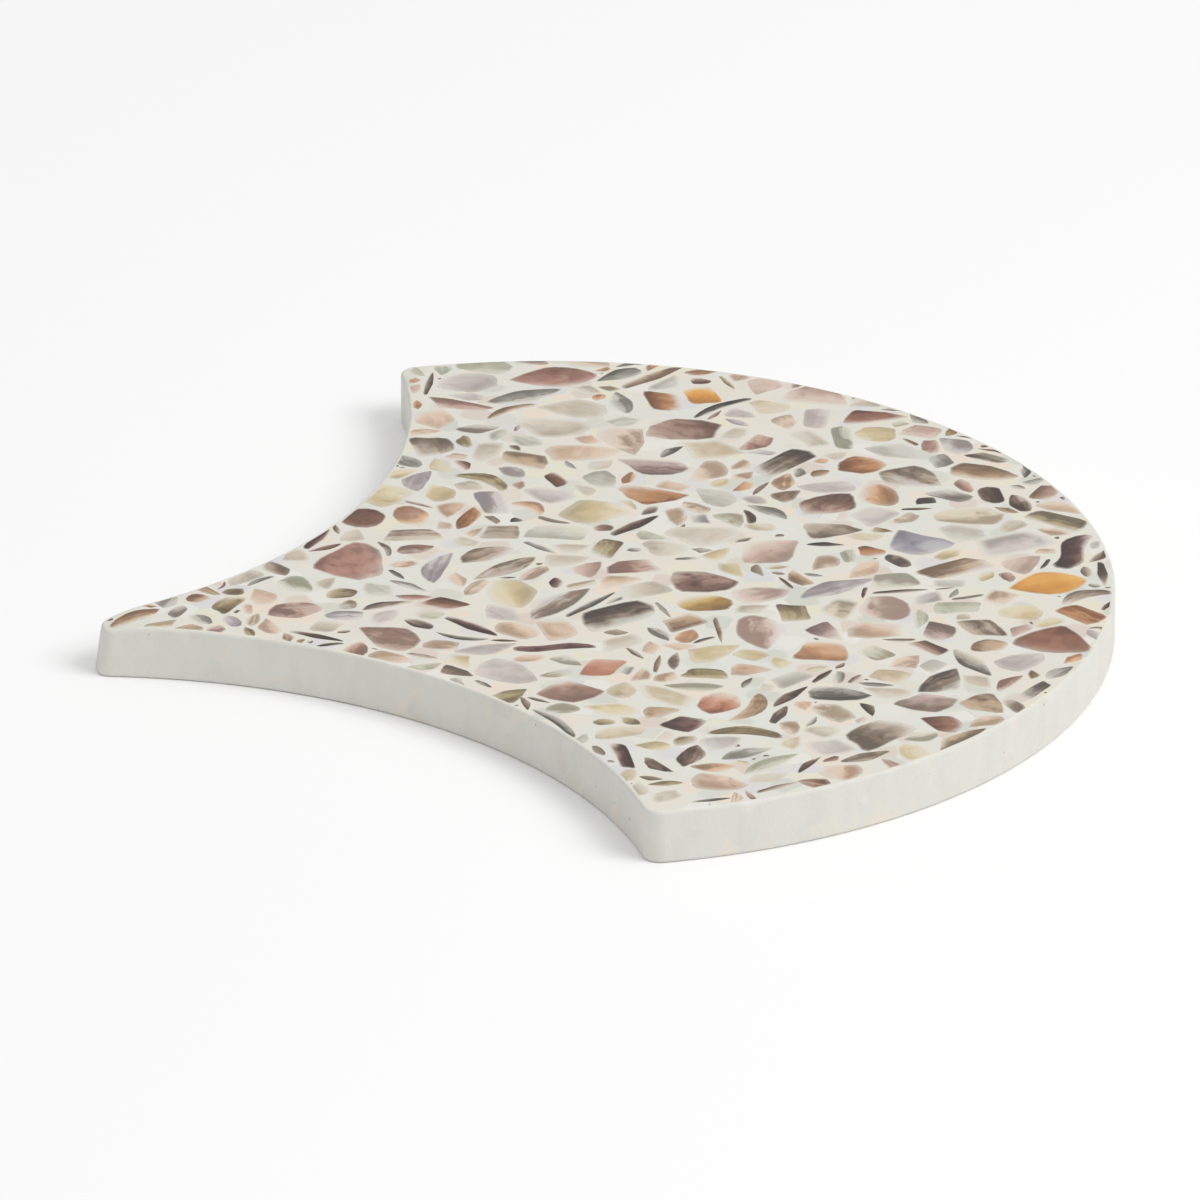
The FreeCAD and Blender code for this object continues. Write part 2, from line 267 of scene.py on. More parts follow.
HAND_SET = (
    Chip(4.0, 17.0, 7.5, 6.5, 0, Form.PLATE, Tone.ROSEWOOD, 0.6, fade=-90),
    Chip(10.0, 15.5, 6.5, 4.5, 15, Form.OVAL, Tone.OCHRE, 0.2, fade=-45),
    Chip(11.2, 5.4, 9.5, 5.4, -18, Form.BLOCK, Tone.UMBER, 0.6, fade=90, contrast=1.2),
    Chip(9.0, 30.5, 9.5, 3.8, -20, Form.LENS, Tone.LAVENDER_GREY, 0.7),
    Chip(8.5, 37.0, 6.0, 4.4, 5, Form.BLOCK, Tone.PALE_GREEN, 0.3),
    Chip(11.7, 37.2, 6.2, 1.0, 4, Form.SLIVER, Tone.UMBER, 0.4),
    Chip(-1.0, 43.0, 8.6, 8.0, 0, Form.KITE, Tone.LAVENDER, 0.2, fade=90, contrast=0.5),
    Chip(0.5, 36.5, 3.5, 3.0, 40, Form.PLATE, Tone.AMBER, 0.3),
    Chip(3.0, 39.0, 4.3, 2.2, 70, Form.OVAL, Tone.UMBER, 0.4),
    Chip(7.0, 44.5, 9.0, 3.8, -20, Form.BLOCK, Tone.TAN, 0.6, fade=120, contrast=1.0),
    Chip(5.3, 58.4, 9.8, 3.0, -56, Form.SLIVER, Tone.DARK_MAROON, 0.4, 0, 3),
    Chip(13.2, 53.4, 8.8, 6.6, -3, Form.LENS, Tone.ORANGE, 0.1, cut=5, contrast=0.25),
    Chip(12.0, 60.0, 6.5, 1.2, 100, Form.SLIVER, Tone.UMBER, 0.4),
    Chip(17.5, 56.5, 6.5, 2.2, -20, Form.SLIVER, Tone.TAUPE, 0.6, 0, 1),
    Chip(15.5, 34.5, 7.0, 6.0, 90, Form.OVAL, Tone.PALE_PINK, 0.2),
    Chip(14.5, 24.5, 5.0, 3.4, 95, Form.BLOCK, Tone.OLIVE, 0.5),
    Chip(19.0, 19.5, 9.5, 5.0, 100, Form.OVAL, Tone.PALE_PINK, 0.6, fade=-90, contrast=0.8),
    Chip(20.0, 27.0, 5.0, 4.4, 30, Form.FIN, Tone.MAUVE, 0.2, fade=180),
    Chip(17.0, 9.0, 4.2, 1.8, 70, Form.LENS, Tone.GREY, 0.4),
    Chip(25.5, 25.0, 6.5, 5.0, 20, Form.BLOCK, Tone.PEACH, 0.4),
    Chip(23.0, 38.5, 5.0, 4.5, 60, Form.PLATE, Tone.MAUVE, 0.4),
    Chip(26.5, 36.5, 5.0, 2.3, 60, Form.BLOCK, Tone.ROSEWOOD, 0.8),
    Chip(23.5, 43.5, 6.0, 3.8, 80, Form.BLOCK, Tone.TAUPE, 1.0),
    Chip(28.0, 50.6, 8.8, 7.8, 27, Form.LENS, Tone.BRICK, 0.2, cut=8, contrast=0.35),
    Chip(28.0, 43.0, 4.5, 3.6, 10, Form.OVAL, Tone.TAN, 0.4),
    Chip(31.5, 39.5, 8.0, 2.8, 75, Form.LENS, Tone.SMOKE, 0.6),
    Chip(36.5, 36.0, 8.0, 5.0, -40, Form.KITE, Tone.SMOKE, 0.8),
    Chip(22.0, 55.0, 5.5, 3.5, 60, Form.BLOCK, Tone.AMBER, 0.5),
    Chip(41.0, 32.5, 8.0, 5.5, 10, Form.KITE, Tone.MAUVE, 0.3),
    Chip(42.5, 39.0, 6.0, 5.2, 40, Form.FIN, Tone.TAN, 0.3),
    Chip(47.0, 33.0, 5.0, 4.4, 20, Form.PLATE, Tone.RUST, 0.4, fade=180),
    Chip(48.0, 25.5, 9.0, 5.2, -35, Form.BLOCK, Tone.TAUPE, 0.4, fade=180, contrast=0.9),
    Chip(51.4, 34.2, 8.5, 3.4, -48, Form.FIN, Tone.TAN, 0.4),
    Chip(36.5, 11.0, 6.0, 5.0, -45, Form.OVAL, Tone.BRICK_ORANGE, 0.5),
    Chip(38.4, 13.9, 8.0, 2.2, -52, Form.SLIVER, Tone.TAN, 0.5, 0, 2),
    Chip(41.0, 6.0, 6.0, 4.6, 5, Form.KITE, Tone.DARK_MAROON, 0.3),
    Chip(36.0, 18.5, 6.5, 1.7, -42, Form.LENS, Tone.DARK_BROWN, 0.4),
    Chip(40.8, 16.6, 4.8, 1.5, -57, Form.SLIVER, Tone.UMBER, 0.4),
    Chip(36.0, 24.0, 7.0, 4.0, 10, Form.PLATE, Tone.SMOKE, 0.7),
    Chip(32.0, 23.5, 4.0, 1.0, -45, Form.SLIVER, Tone.DARK_BROWN, 0.2),
    Chip(44.5, 12.0, 8.0, 2.2, 20, Form.SLIVER, Tone.OLIVE, 0.7, 0, 1),
    Chip(49.0, 5.0, 6.5, 3.2, -65, Form.PLATE, Tone.DARK_BROWN, 0.7),
    Chip(47.5, -2.2, 7.0, 1.9, 92, Form.BLOCK, Tone.DARK_MAROON, 0.4),
    Chip(50.8, 0.6, 5.0, 2.0, 65, Form.FIN, Tone.DARK_BROWN, 0.4),
    Chip(37.5, -7.2, 8.6, 1.3, 72, Form.SLIVER, Tone.SMOKE, 0.5, 0, 1),
    Chip(54.0, 16.5, 4.8, 1.1, -47, Form.LENS, Tone.DARK_BROWN, 0.3),
    Chip(53.5, 23.0, 6.0, 2.2, -15, Form.LENS, Tone.TAUPE, 0.6),
    Chip(41.5, 26.5, 4.0, 1.6, 75, Form.FIN, Tone.UMBER, 0.3),
    Chip(40.6, 45.1, 5.0, 1.9, -42, Form.BLOCK, Tone.SMOKE, 0.6),
    Chip(38.0, 42.5, 5.0, 2.0, -45, Form.LENS, Tone.ROSE, 0.4),
    Chip(24.5, 1.0, 5.0, 4.5, 20, Form.BLOCK, Tone.BRICK_ORANGE, 0.2),
    Chip(30.0, -4.0, 8.0, 6.4, 0, Form.KITE, Tone.ROSE, 0.2, fade=-90, contrast=0.7),
    Chip(18.0, -3.0, 9.0, 1.7, 10, Form.SLIVER, Tone.DARK_MAROON, 0.5, 0, 3),
    Chip(10.5, -10.5, 7.5, 1.8, 55, Form.SLIVER, Tone.DARK_MAROON, 0.4),
    Chip(4.0, -12.0, 5.2, 3.0, 45, Form.BLOCK, Tone.RUST, 0.3),
    Chip(2.5, -18.0, 7.0, 1.8, -10, Form.FIN, Tone.UMBER, 0.5),
    Chip(13.0, -12.2, 6.0, 1.1, 30, Form.SLIVER, Tone.SMOKE, 0.3, 0, 2),
    Chip(11.5, -20.0, 8.0, 6.2, 30, Form.PLATE, Tone.ROSE, 0.5),
    Chip(8.5, -16.0, 4.2, 2.0, 55, Form.OVAL, Tone.UMBER, 0.4),
    Chip(9.3, -27.5, 6.5, 1.2, 38, Form.SLIVER, Tone.DARK_BROWN, 0.3),
    Chip(2.0, -28.5, 6.5, 4.2, 0, Form.OVAL, Tone.ROSE, 0.4),
    Chip(-0.6, -45.6, 6.4, 2.6, -18, Form.OVAL, Tone.TAN, 0.4, cut=5, contrast=0.9),
    Chip(4.0, -23.0, 4.5, 2.8, 10, Form.OVAL, Tone.LAVENDER_GREY, 0.6),
    Chip(6.3, 0.0, 10.5, 3.8, -40, Form.LENS, Tone.GREY, 0.6, fade=-90, contrast=0.9),
    Chip(1.0, 1.0, 3.0, 1.6, 105, Form.OVAL, Tone.DARK_MAROON, 0.2),
    Chip(-4.0, -3.5, 9.0, 3.2, -30, Form.LENS, Tone.TAUPE, 1.0),
    Chip(-1.5, -22.5, 3.8, 3.0, 10, Form.OVAL, Tone.OLIVE, 0.5),
    Chip(22.0, -15.0, 4.8, 2.6, 60, Form.FIN, Tone.TAUPE, 0.5),
    Chip(-10.0, -20.0, 11.0, 7.8, 100, Form.PLATE, Tone.MAUVE_RED, 0.5, 0, 5, contrast=0.4),
    Chip(-16.6, -22.0, 6.0, 1.5, -52, Form.SLIVER, Tone.DARK_MAROON, 0.3),
    Chip(-21.0, -15.7, 5.6, 4.4, -60, Form.OVAL, Tone.RUST, 0.2),
    Chip(-20.5, -10.5, 6.0, 4.3, 90, Form.OVAL, Tone.PEACH, 0.2),
    Chip(-15.3, -11.5, 7.2, 3.4, 10, Form.BLOCK, Tone.TAUPE, 1.0),
    Chip(-18.5, -4.5, 7.0, 2.4, -60, Form.FIN, Tone.AMBER, 0.4),
    Chip(-11.5, -12.0, 4.5, 2.6, 0, Form.OVAL, Tone.MAUVE, 0.7),
    Chip(-14.0, -2.0, 4.5, 3.8, 15, Form.BLOCK, Tone.TAUPE, 0.5),
    Chip(-8.5, -4.8, 7.2, 3.8, -20, Form.OVAL, Tone.TAUPE, 0.7),
    Chip(-6.5, -11.0, 9.5, 2.8, -65, Form.FIN, Tone.LAVENDER_GREY, 0.6),
    Chip(-39.5, -4.0, 6.0, 4.7, 90, Form.BLOCK, Tone.TAUPE, 0.5),
    Chip(-43.0, 2.0, 5.0, 2.8, 5, Form.LENS, Tone.GREY, 0.6),
    Chip(-57.0, -0.6, 6.5, 0.9, -70, Form.SLIVER, Tone.UMBER, 0.3),
    Chip(-50.5, 1.5, 8.6, 2.8, 35, Form.FIN, Tone.ROSE, 0.6),
    Chip(-28.5, -0.5, 7.0, 2.4, 50, Form.SLIVER, Tone.OLIVE, 0.7, 0, 1),
    Chip(-22.6, -0.9, 7.0, 3.6, 92, Form.BLOCK, Tone.LAVENDER_GREY, 0.5),
    Chip(-30.5, -8.0, 6.6, 3.0, -65, Form.FIN, Tone.LAVENDER_GREY, 0.5),
    Chip(-27.0, 7.3, 4.3, 2.0, 75, Form.BLOCK, Tone.RUST, 0.3),
    Chip(-55.8, 13.5, 10.0, 6.2, 5, Form.LENS, Tone.MAUVE_RED, 0.4, cut=5, fade=90, contrast=0.6),
    Chip(-54.6, 21.0, 6.3, 3.0, -35, Form.PLATE, Tone.SMOKE, 0.7),
    Chip(-51.8, 9.2, 9.0, 3.8, -12, Form.LENS, Tone.GREY, 0.6, fade=90, contrast=1.1),
    Chip(-53.4, 24.6, 9.5, 2.0, -30, Form.SLIVER, Tone.TAN, 0.6),
    Chip(-46.6, 24.2, 6.6, 3.8, 90, Form.BLOCK, Tone.AMBER, 0.3, contrast=1.0),
    Chip(-46.6, 28.6, 5.0, 3.8, 85, Form.BLOCK, Tone.ORANGE, 0.3, contrast=0.8),
    Chip(-46.8, 19.3, 6.3, 2.8, 90, Form.LENS, Tone.GREY, 0.5),
    Chip(-43.8, 30.0, 8.6, 1.3, -28, Form.SLIVER, Tone.NEAR_BLACK, 0.1, 0, 1),
    Chip(-37.5, 24.5, 8.0, 7.0, 40, Form.PLATE, Tone.ROSEWOOD, 0.3),
    Chip(-37.0, 46.0, 8.0, 4.3, -10, Form.FIN, Tone.BRICK, 0.3),
    Chip(-44.0, 41.5, 8.0, 5.0, 25, Form.BLOCK, Tone.PALE_PINK, 0.3),
    Chip(-28.0, 18.5, 8.5, 4.8, 25, Form.PLATE, Tone.MAUVE, 0.7),
    Chip(-20.0, 16.5, 8.5, 5.4, 30, Form.FIN, Tone.AMBER, 0.4, fade=-60, contrast=0.6),
    Chip(-12.5, 13.0, 7.5, 1.8, -33, Form.SLIVER, Tone.DARK_BROWN, 0.3),
    Chip(-26.0, 33.0, 8.5, 3.8, -37, Form.BLOCK, Tone.UMBER, 0.7, fade=0, contrast=0.9),
    Chip(-23.5, 41.5, 6.0, 5.2, 0, Form.OVAL, Tone.AMBER, 0.5),
    Chip(-13.5, 35.5, 8.5, 6.4, -40, Form.PLATE, Tone.ROSEWOOD, 0.6),
    Chip(-19.0, 46.0, 8.0, 6.0, 55, Form.PLATE, Tone.TAUPE, 1.0),
    Chip(-12.0, 53.5, 5.0, 2.8, 90, Form.OVAL, Tone.DARK_BROWN, 0.3),
    Chip(-9.0, 56.0, 5.2, 2.6, 90, Form.OVAL, Tone.DARK_BROWN, 0.3),
    Chip(-12.0, 46.0, 2.5, 1.8, 0, Form.BLOCK, Tone.NEAR_BLACK, 0.1),
    Chip(-10.0, 44.5, 3.5, 0.8, 8, Form.SLIVER, Tone.UMBER, 0.2),
    Chip(-6.0, 33.5, 7.5, 5.0, 30, Form.FIN, Tone.TAUPE, 0.4),
    Chip(-2.7, 32.3, 4.2, 1.3, 15, Form.LENS, Tone.NEAR_BLACK, 0.2),
    Chip(-7.0, 8.5, 5.2, 3.0, -60, Form.BLOCK, Tone.OLIVE, 0.6),
    Chip(-4.8, 58.4, 7.0, 3.4, 46, Form.BLOCK, Tone.OLIVE, 0.5),
    Chip(-18.5, 54.5, 8.0, 4.6, 20, Form.PLATE, Tone.TAN, 0.5),
    Chip(-22.5, 55.6, 5.5, 2.0, 42, Form.BLOCK, Tone.SMOKE, 0.8),
    Chip(-31.5, 45.0, 5.0, 4.6, 10, Form.OVAL, Tone.CREAM, 0.2),
    Chip(-32.0, 49.5, 4.5, 3.4, 30, Form.BLOCK, Tone.PALE_PINK, 0.3),
    Chip(-27.5, 52.5, 5.0, 4.2, 40, Form.PLATE, Tone.LAVENDER_GREY, 0.3),
    Chip(-32.0, 21.5, 4.0, 1.6, -40, Form.LENS, Tone.SMOKE, 0.3),
    Chip(-13.0, 28.5, 6.5, 2.2, 57, Form.FIN, Tone.GREY, 0.6),
    Chip(-32.0, 31.5, 5.5, 3.3, -60, Form.FIN, Tone.ROSE, 0.4),
    Chip(-17.0, 9.5, 8.5, 6.6, 20, Form.PLATE, Tone.CREAM, 0.2, 0.3),
    Chip(7.6, 3.4, 8.5, 1.2, -38, Form.SLIVER, Tone.SMOKE, 0.3),
    Chip(10.8, 10.8, 4.4, 0.7, 82, Form.SLIVER, Tone.SMOKE, 0.2),
    Chip(17.5, 15.4, 7.0, 0.7, 97, Form.SLIVER, Tone.UMBER, 0.2, 0, 4),
    Chip(21.5, 5.2, 3.4, 0.9, 72, Form.SLIVER, Tone.SMOKE, 0.2),
    Chip(24.8, 6.9, 4.6, 0.8, -70, Form.SLIVER, Tone.TAUPE, 0.2),
    Chip(24.4, 8.8, 4.6, 1.4, -72, Form.LENS, Tone.TAUPE, 0.3, 0.3),
    Chip(28.4, 11.3, 5.6, 2.6, 20, Form.BLOCK, Tone.OLIVE, 0.5),
    Chip(31.7, 9.3, 6.5, 2.4, 15, Form.LENS, Tone.PALE_GREEN, 0.3, 0.2),
    Chip(21.6, -2.4, 4.2, 2.6, 30, Form.FIN, Tone.PALE_GREEN, 0.2),
    Chip(31.8, 15.1, 3.0, 0.9, -55, Form.LENS, Tone.SMOKE, 0.2),
    Chip(24.8, 17.4, 4.4, 3.4, 10, Form.PLATE, Tone.CREAM, 0.1, 0.4),
    Chip(36.8, 4.4, 4.8, 3.2, -20, Form.FIN, Tone.TAN, 0.2, 0.3),
    Chip(38.4, -2.2, 2.6, 1.7, 10, Form.OVAL, Tone.OLIVE, 0.2, 0.3),
    Chip(45.8, 1.6, 4.0, 2.6, 0, Form.PLATE, Tone.CREAM, 0.2),
    Chip(43.4, 19.6, 3.0, 0.9, -52, Form.LENS, Tone.GREY, 0.2),
    Chip(49.6, 10.8, 6.2, 2.6, -15, Form.LENS, Tone.GREY, 0.4, 0.2),
    Chip(53.8, -0.6, 2.6, 1.2, 30, Form.LENS, Tone.TAUPE, 0.2),
    Chip(45.6, -4.4, 2.8, 1.2, 80, Form.OVAL, Tone.UMBER, 0.2),
    Chip(2.8, 23.2, 3.8, 1.4, 95, Form.FIN, Tone.UMBER, 0.2),
    Chip(3.9, 25.4, 1.6, 0.9, 40, Form.OVAL, Tone.SMOKE, 0.1),
    Chip(29.4, 25.8, 1.9, 0.9, -45, Form.LENS, Tone.OLIVE, 0.2),
    Chip(7.6, 21.8, 6.4, 4.6, -20, Form.PLATE, Tone.PALE_PINK, 0.3, 0.6),
    Chip(31.8, -9.2, 3.6, 1.0, 90, Form.LENS, Tone.UMBER, 0.2),
    Chip(2.4, 31.2, 4.6, 3.2, -60, Form.PLATE, Tone.PALE_PEACH, 0.2, 0.4),
    Chip(17.4, 42.2, 5.6, 3.4, 10, Form.BLOCK, Tone.PALE_GREEN, 0.3, 0.3),
    Chip(20.2, 48.6, 5.0, 4.0, 20, Form.PLATE, Tone.CREAM, 0.2, 0.4),
    Chip(27.4, 30.6, 4.0, 3.0, 60, Form.BLOCK, Tone.PALE_GREEN, 0.3),
    Chip(33.6, 30.8, 5.2, 4.2, 0, Form.PLATE, Tone.IVORY, 0.2),
    Chip(36.6, 48.6, 4.4, 2.2, -35, Form.LENS, Tone.GREY, 0.3),
    Chip(31.8, 45.4, 6.0, 4.4, -40, Form.PLATE, Tone.PALE_LILAC, 0.3, 0.4),
    Chip(13.6, 42.9, 2.6, 0.9, -55, Form.LENS, Tone.GREY, 0.2),
    Chip(9.8, 47.4, 3.0, 1.8, -50, Form.OVAL, Tone.CREAM, 0.2),
    Chip(7.0, 51.0, 6.0, 4.0, -60, Form.FIN, Tone.PALE_PINK, 0.3, 0.2),
    Chip(11.0, 57.6, 3.6, 1.6, 100, Form.OVAL, Tone.TAUPE, 0.2),
    Chip(14.6, 58.6, 2.0, 1.8, 0, Form.OVAL, Tone.GREY, 0.2),
    Chip(6.8, 60.4, 4.0, 1.5, -45, Form.LENS, Tone.SMOKE, 0.3),
    Chip(20.8, 58.0, 2.6, 0.9, -50, Form.SLIVER, Tone.DARK_BROWN, 0.1),
    Chip(27.8, 55.0, 3.0, 1.6, 80, Form.LENS, Tone.LAVENDER_GREY, 0.2, 0.3),
    Chip(45.8, 37.8, 4.5, 3.0, -45, Form.PLATE, Tone.PALE_PEACH, 0.2, 0.3),
    Chip(20.6, 32.0, 6.0, 5.0, 30, Form.PLATE, Tone.PALE_PEACH, 0.2, 0.5),
    Chip(33.4, 26.8, 2.6, 0.9, -45, Form.SLIVER, Tone.TAUPE, 0.2),
    Chip(5.3, 29.0, 2.2, 0.9, 30, Form.LENS, Tone.GREY, 0.2),
    Chip(-0.6, -41.0, 3.6, 2.0, -50, Form.OVAL, Tone.GREY, 0.3, 0.2),
    Chip(-3.6, -38.0, 2.8, 2.4, 20, Form.OVAL, Tone.TAN, 0.3, contrast=1.0),
    Chip(-4.4, -34.0, 2.6, 2.0, 0, Form.OVAL, Tone.OLIVE, 0.2, 0.3, contrast=0.3),
    Chip(2.0, -38.8, 3.4, 2.2, 70, Form.OVAL, Tone.GREY, 0.4, contrast=1.0),
    Chip(3.2, -35.6, 3.4, 1.8, 80, Form.OVAL, Tone.LAVENDER_GREY, 0.3),
    Chip(-2.4, -31.2, 4.5, 3.4, 60, Form.PLATE, Tone.PALE_PEACH, 0.2, 0.3),
    Chip(-4.8, -26.6, 5.0, 3.4, 70, Form.PLATE, Tone.PALE_GREEN, 0.2, 0.2),
    Chip(5.6, -32.2, 4.4, 2.4, 80, Form.PLATE, Tone.PALE_PEACH, 0.2, 0.2),
    Chip(-1.8, -14.8, 5.2, 1.4, 50, Form.LENS, Tone.LAVENDER_GREY, 0.4),
    Chip(-5.6, -16.6, 3.0, 0.9, 70, Form.SLIVER, Tone.SMOKE, 0.1),
    Chip(17.0, -17.4, 3.6, 0.8, 35, Form.SLIVER, Tone.TAUPE, 0.2, 0.2),
    Chip(8.8, -24.4, 1.6, 0.9, 0, Form.OVAL, Tone.TAUPE, 0.1),
    Chip(25.8, -12.6, 2.6, 0.8, 60, Form.SLIVER, Tone.SMOKE, 0.1),
    Chip(17.4, -10.4, 7.0, 3.0, -5, Form.LENS, Tone.PALE_LILAC, 0.3, 0.5),
    Chip(6.6, -14.0, 3.0, 2.0, 0, Form.OVAL, Tone.PALE_GREEN, 0.2, 0.3),
    Chip(-47.8, 6.6, 6.8, 1.4, -25, Form.SLIVER, Tone.TAN, 0.4, 0, 1),
    Chip(-39.8, -0.4, 3.6, 2.0, 90, Form.PLATE, Tone.OLIVE, 0.3, 0.2),
    Chip(-33.6, -5.6, 4.6, 3.0, 80, Form.PLATE, Tone.IVORY, 0.3),
    Chip(-33.2, -2.8, 3.6, 1.6, 75, Form.FIN, Tone.ROSEWOOD, 0.3),
    Chip(-26.6, -6.4, 5.0, 4.0, 60, Form.PLATE, Tone.CREAM, 0.2, 0.3),
    Chip(-17.0, 0.6, 1.7, 1.3, 0, Form.FIN, Tone.UMBER, 0.1),
    Chip(-12.6, 4.2, 7.2, 4.0, 20, Form.BLOCK, Tone.PEARL, 0.3, 0.1),
    Chip(-8.8, 1.5, 4.8, 1.1, 55, Form.SLIVER, Tone.GREY, 0.3),
    Chip(-10.2, 13.8, 4.0, 2.4, 60, Form.FIN, Tone.PALE_GREEN, 0.2, 0.2),
    Chip(-5.9, 11.4, 1.8, 1.2, 0, Form.OVAL, Tone.GREY, 0.2),
    Chip(-1.5, 10.2, 6.5, 3.4, 5, Form.BLOCK, Tone.ROSE, 0.4, fade=180, contrast=0.9),
    Chip(-2.2, 5.0, 5.0, 3.2, -65, Form.FIN, Tone.PALE_PINK, 0.3),
    Chip(-2.2, 16.6, 2.8, 0.8, 10, Form.SLIVER, Tone.GREY, 0.2),
    Chip(-10.8, 18.0, 1.8, 0.6, -60, Form.SLIVER, Tone.TAUPE, 0.2),
    Chip(-25.8, 12.6, 5.0, 4.0, 60, Form.PLATE, Tone.PEARL, 0.3),
    Chip(-30.6, 9.7, 2.6, 0.9, 75, Form.LENS, Tone.LAVENDER, 0.2),
    Chip(-30.2, 3.2, 4.0, 2.6, 60, Form.OVAL, Tone.LAVENDER_GREY, 0.3, 0.3),
    Chip(-24.4, 14.2, 4.0, 1.8, -60, Form.FIN, Tone.PEACH, 0.2),
    Chip(-18.2, 23.4, 6.0, 4.5, 40, Form.PLATE, Tone.PEARL, 0.3, 0.2),
    Chip(-20.6, 27.0, 3.4, 2.0, -60, Form.FIN, Tone.PEACH, 0.2, 0.2),
    Chip(-11.8, 24.2, 5.0, 3.0, 60, Form.FIN, Tone.PALE_GREEN, 0.2, 0.3),
    Chip(-1.6, 26.0, 7.4, 5.8, -70, Form.BLOCK, Tone.PALE_PINK, 0.2, 0.1),
    Chip(-42.3, 6.4, 1.9, 0.7, -60, Form.SLIVER, Tone.TAUPE, 0.1),
    Chip(-46.8, -2.2, 5.6, 4.6, 90, Form.PLATE, Tone.PALE_PEACH, 0.2, 0.4),
    Chip(-38.4, 30.8, 3.4, 1.4, 50, Form.LENS, Tone.LAVENDER_GREY, 0.3),
    Chip(-42.0, 35.0, 5.0, 4.0, 30, Form.PLATE, Tone.IVORY, 0.2, 0.2),
    Chip(-37.4, 36.0, 4.6, 3.0, -70, Form.FIN, Tone.PALE_PEACH, 0.2, 0.2),
    Chip(-37.4, 39.6, 5.5, 3.0, -70, Form.BLOCK, Tone.PALE_LILAC, 0.3, 0.2),
    Chip(-31.3, 41.2, 6.5, 2.4, -80, Form.BLOCK, Tone.PALE_GREEN, 0.4),
    Chip(-22.2, 36.4, 2.8, 1.9, -30, Form.OVAL, Tone.TAN, 0.3),
    Chip(-17.2, 31.2, 4.4, 3.2, -50, Form.FIN, Tone.TAN, 0.2, 0.3, contrast=0.3),
    Chip(-15.8, 51.2, 4.0, 2.0, 85, Form.OVAL, Tone.ROSE, 0.2, 0.2),
    Chip(-12.8, 49.2, 5.6, 2.8, 45, Form.BLOCK, Tone.GREY, 0.3, 0.2),
    Chip(-17.6, 59.0, 4.0, 1.4, -70, Form.LENS, Tone.SMOKE, 0.2),
    Chip(-13.4, 57.0, 2.0, 1.2, 40, Form.OVAL, Tone.GREY, 0.2),
    Chip(-6.8, 49.6, 8.0, 5.0, 15, Form.PLATE, Tone.IVORY, 0.2),
    Chip(-7.6, 42.6, 4.0, 2.5, -50, Form.FIN, Tone.IVORY, 0.2, 0.2),
    Chip(-6.1, 27.9, 1.2, 1.0, 0, Form.OVAL, Tone.SMOKE, 0.1),
    Chip(-30.6, 53.0, 3.0, 1.6, -60, Form.LENS, Tone.OLIVE, 0.2),
    Chip(-51.0, 29.6, 2.4, 2.0, 0, Form.PLATE, Tone.ROSEWOOD, 0.2),
    Chip(-49.8, 32.4, 4.0, 0.8, 80, Form.SLIVER, Tone.OLIVE, 0.2),
    Chip(-47.8, 36.4, 5.0, 4.2, -80, Form.PLATE, Tone.PALE_PINK, 0.2, 0.2),
    Chip(60.6, 4.4, 4.2, 0.8, 0, Form.SLIVER, Tone.SMOKE, 0.2),
    Chip(59.0, 12.0, 5.2, 1.0, -18, Form.SLIVER, Tone.TAUPE, 0.3),
    Chip(55.4, 0.6, 3.8, 1.4, 5, Form.LENS, Tone.OLIVE, 0.3, 0.1),
    Chip(52.8, 12.6, 7.8, 2.4, -30, Form.LENS, Tone.PALE_GREEN, 0.4, 0.3),
    Chip(56.2, 6.4, 6.2, 4.6, 12, Form.PLATE, Tone.PALE_PEACH, 0.2, 0.5),
    Chip(56.2, 19.6, 4.8, 4.4, 0, Form.PLATE, Tone.PALE_PEACH, 0.1, 0.5),
    Chip(58.6, 0.0, 3.5, 3.0, 0, Form.PLATE, Tone.MILK, 0.1, 0.8),
    Chip(44.6, 20.8, 6.0, 5.0, 0, Form.PLATE, Tone.MILK, 0.1, 0.8),
    Chip(-41.0, 9.8, 9.0, 6.0, 20, Form.PLATE, Tone.MILK, 0.1, 0.7),
    Chip(-46.4, 13.6, 8.5, 6.0, 0, Form.PLATE, Tone.MILK, 0.1, 0.6),
    Chip(-33.6, 12.4, 9.0, 4.8, 10, Form.PLATE, Tone.PALE_PEACH, 0.1, 0.6),
    Chip(-25.2, 24.8, 6.5, 4.2, -60, Form.PLATE, Tone.PALE_PEACH, 0.2, 0.4),
    Chip(-8.6, 20.4, 8.5, 6.0, 10, Form.PLATE, Tone.MILK, 0.1, 0.7),
    Chip(-22.8, 5.4, 6.5, 4.2, 30, Form.PLATE, Tone.PALE_LILAC, 0.1, 0.7),
)


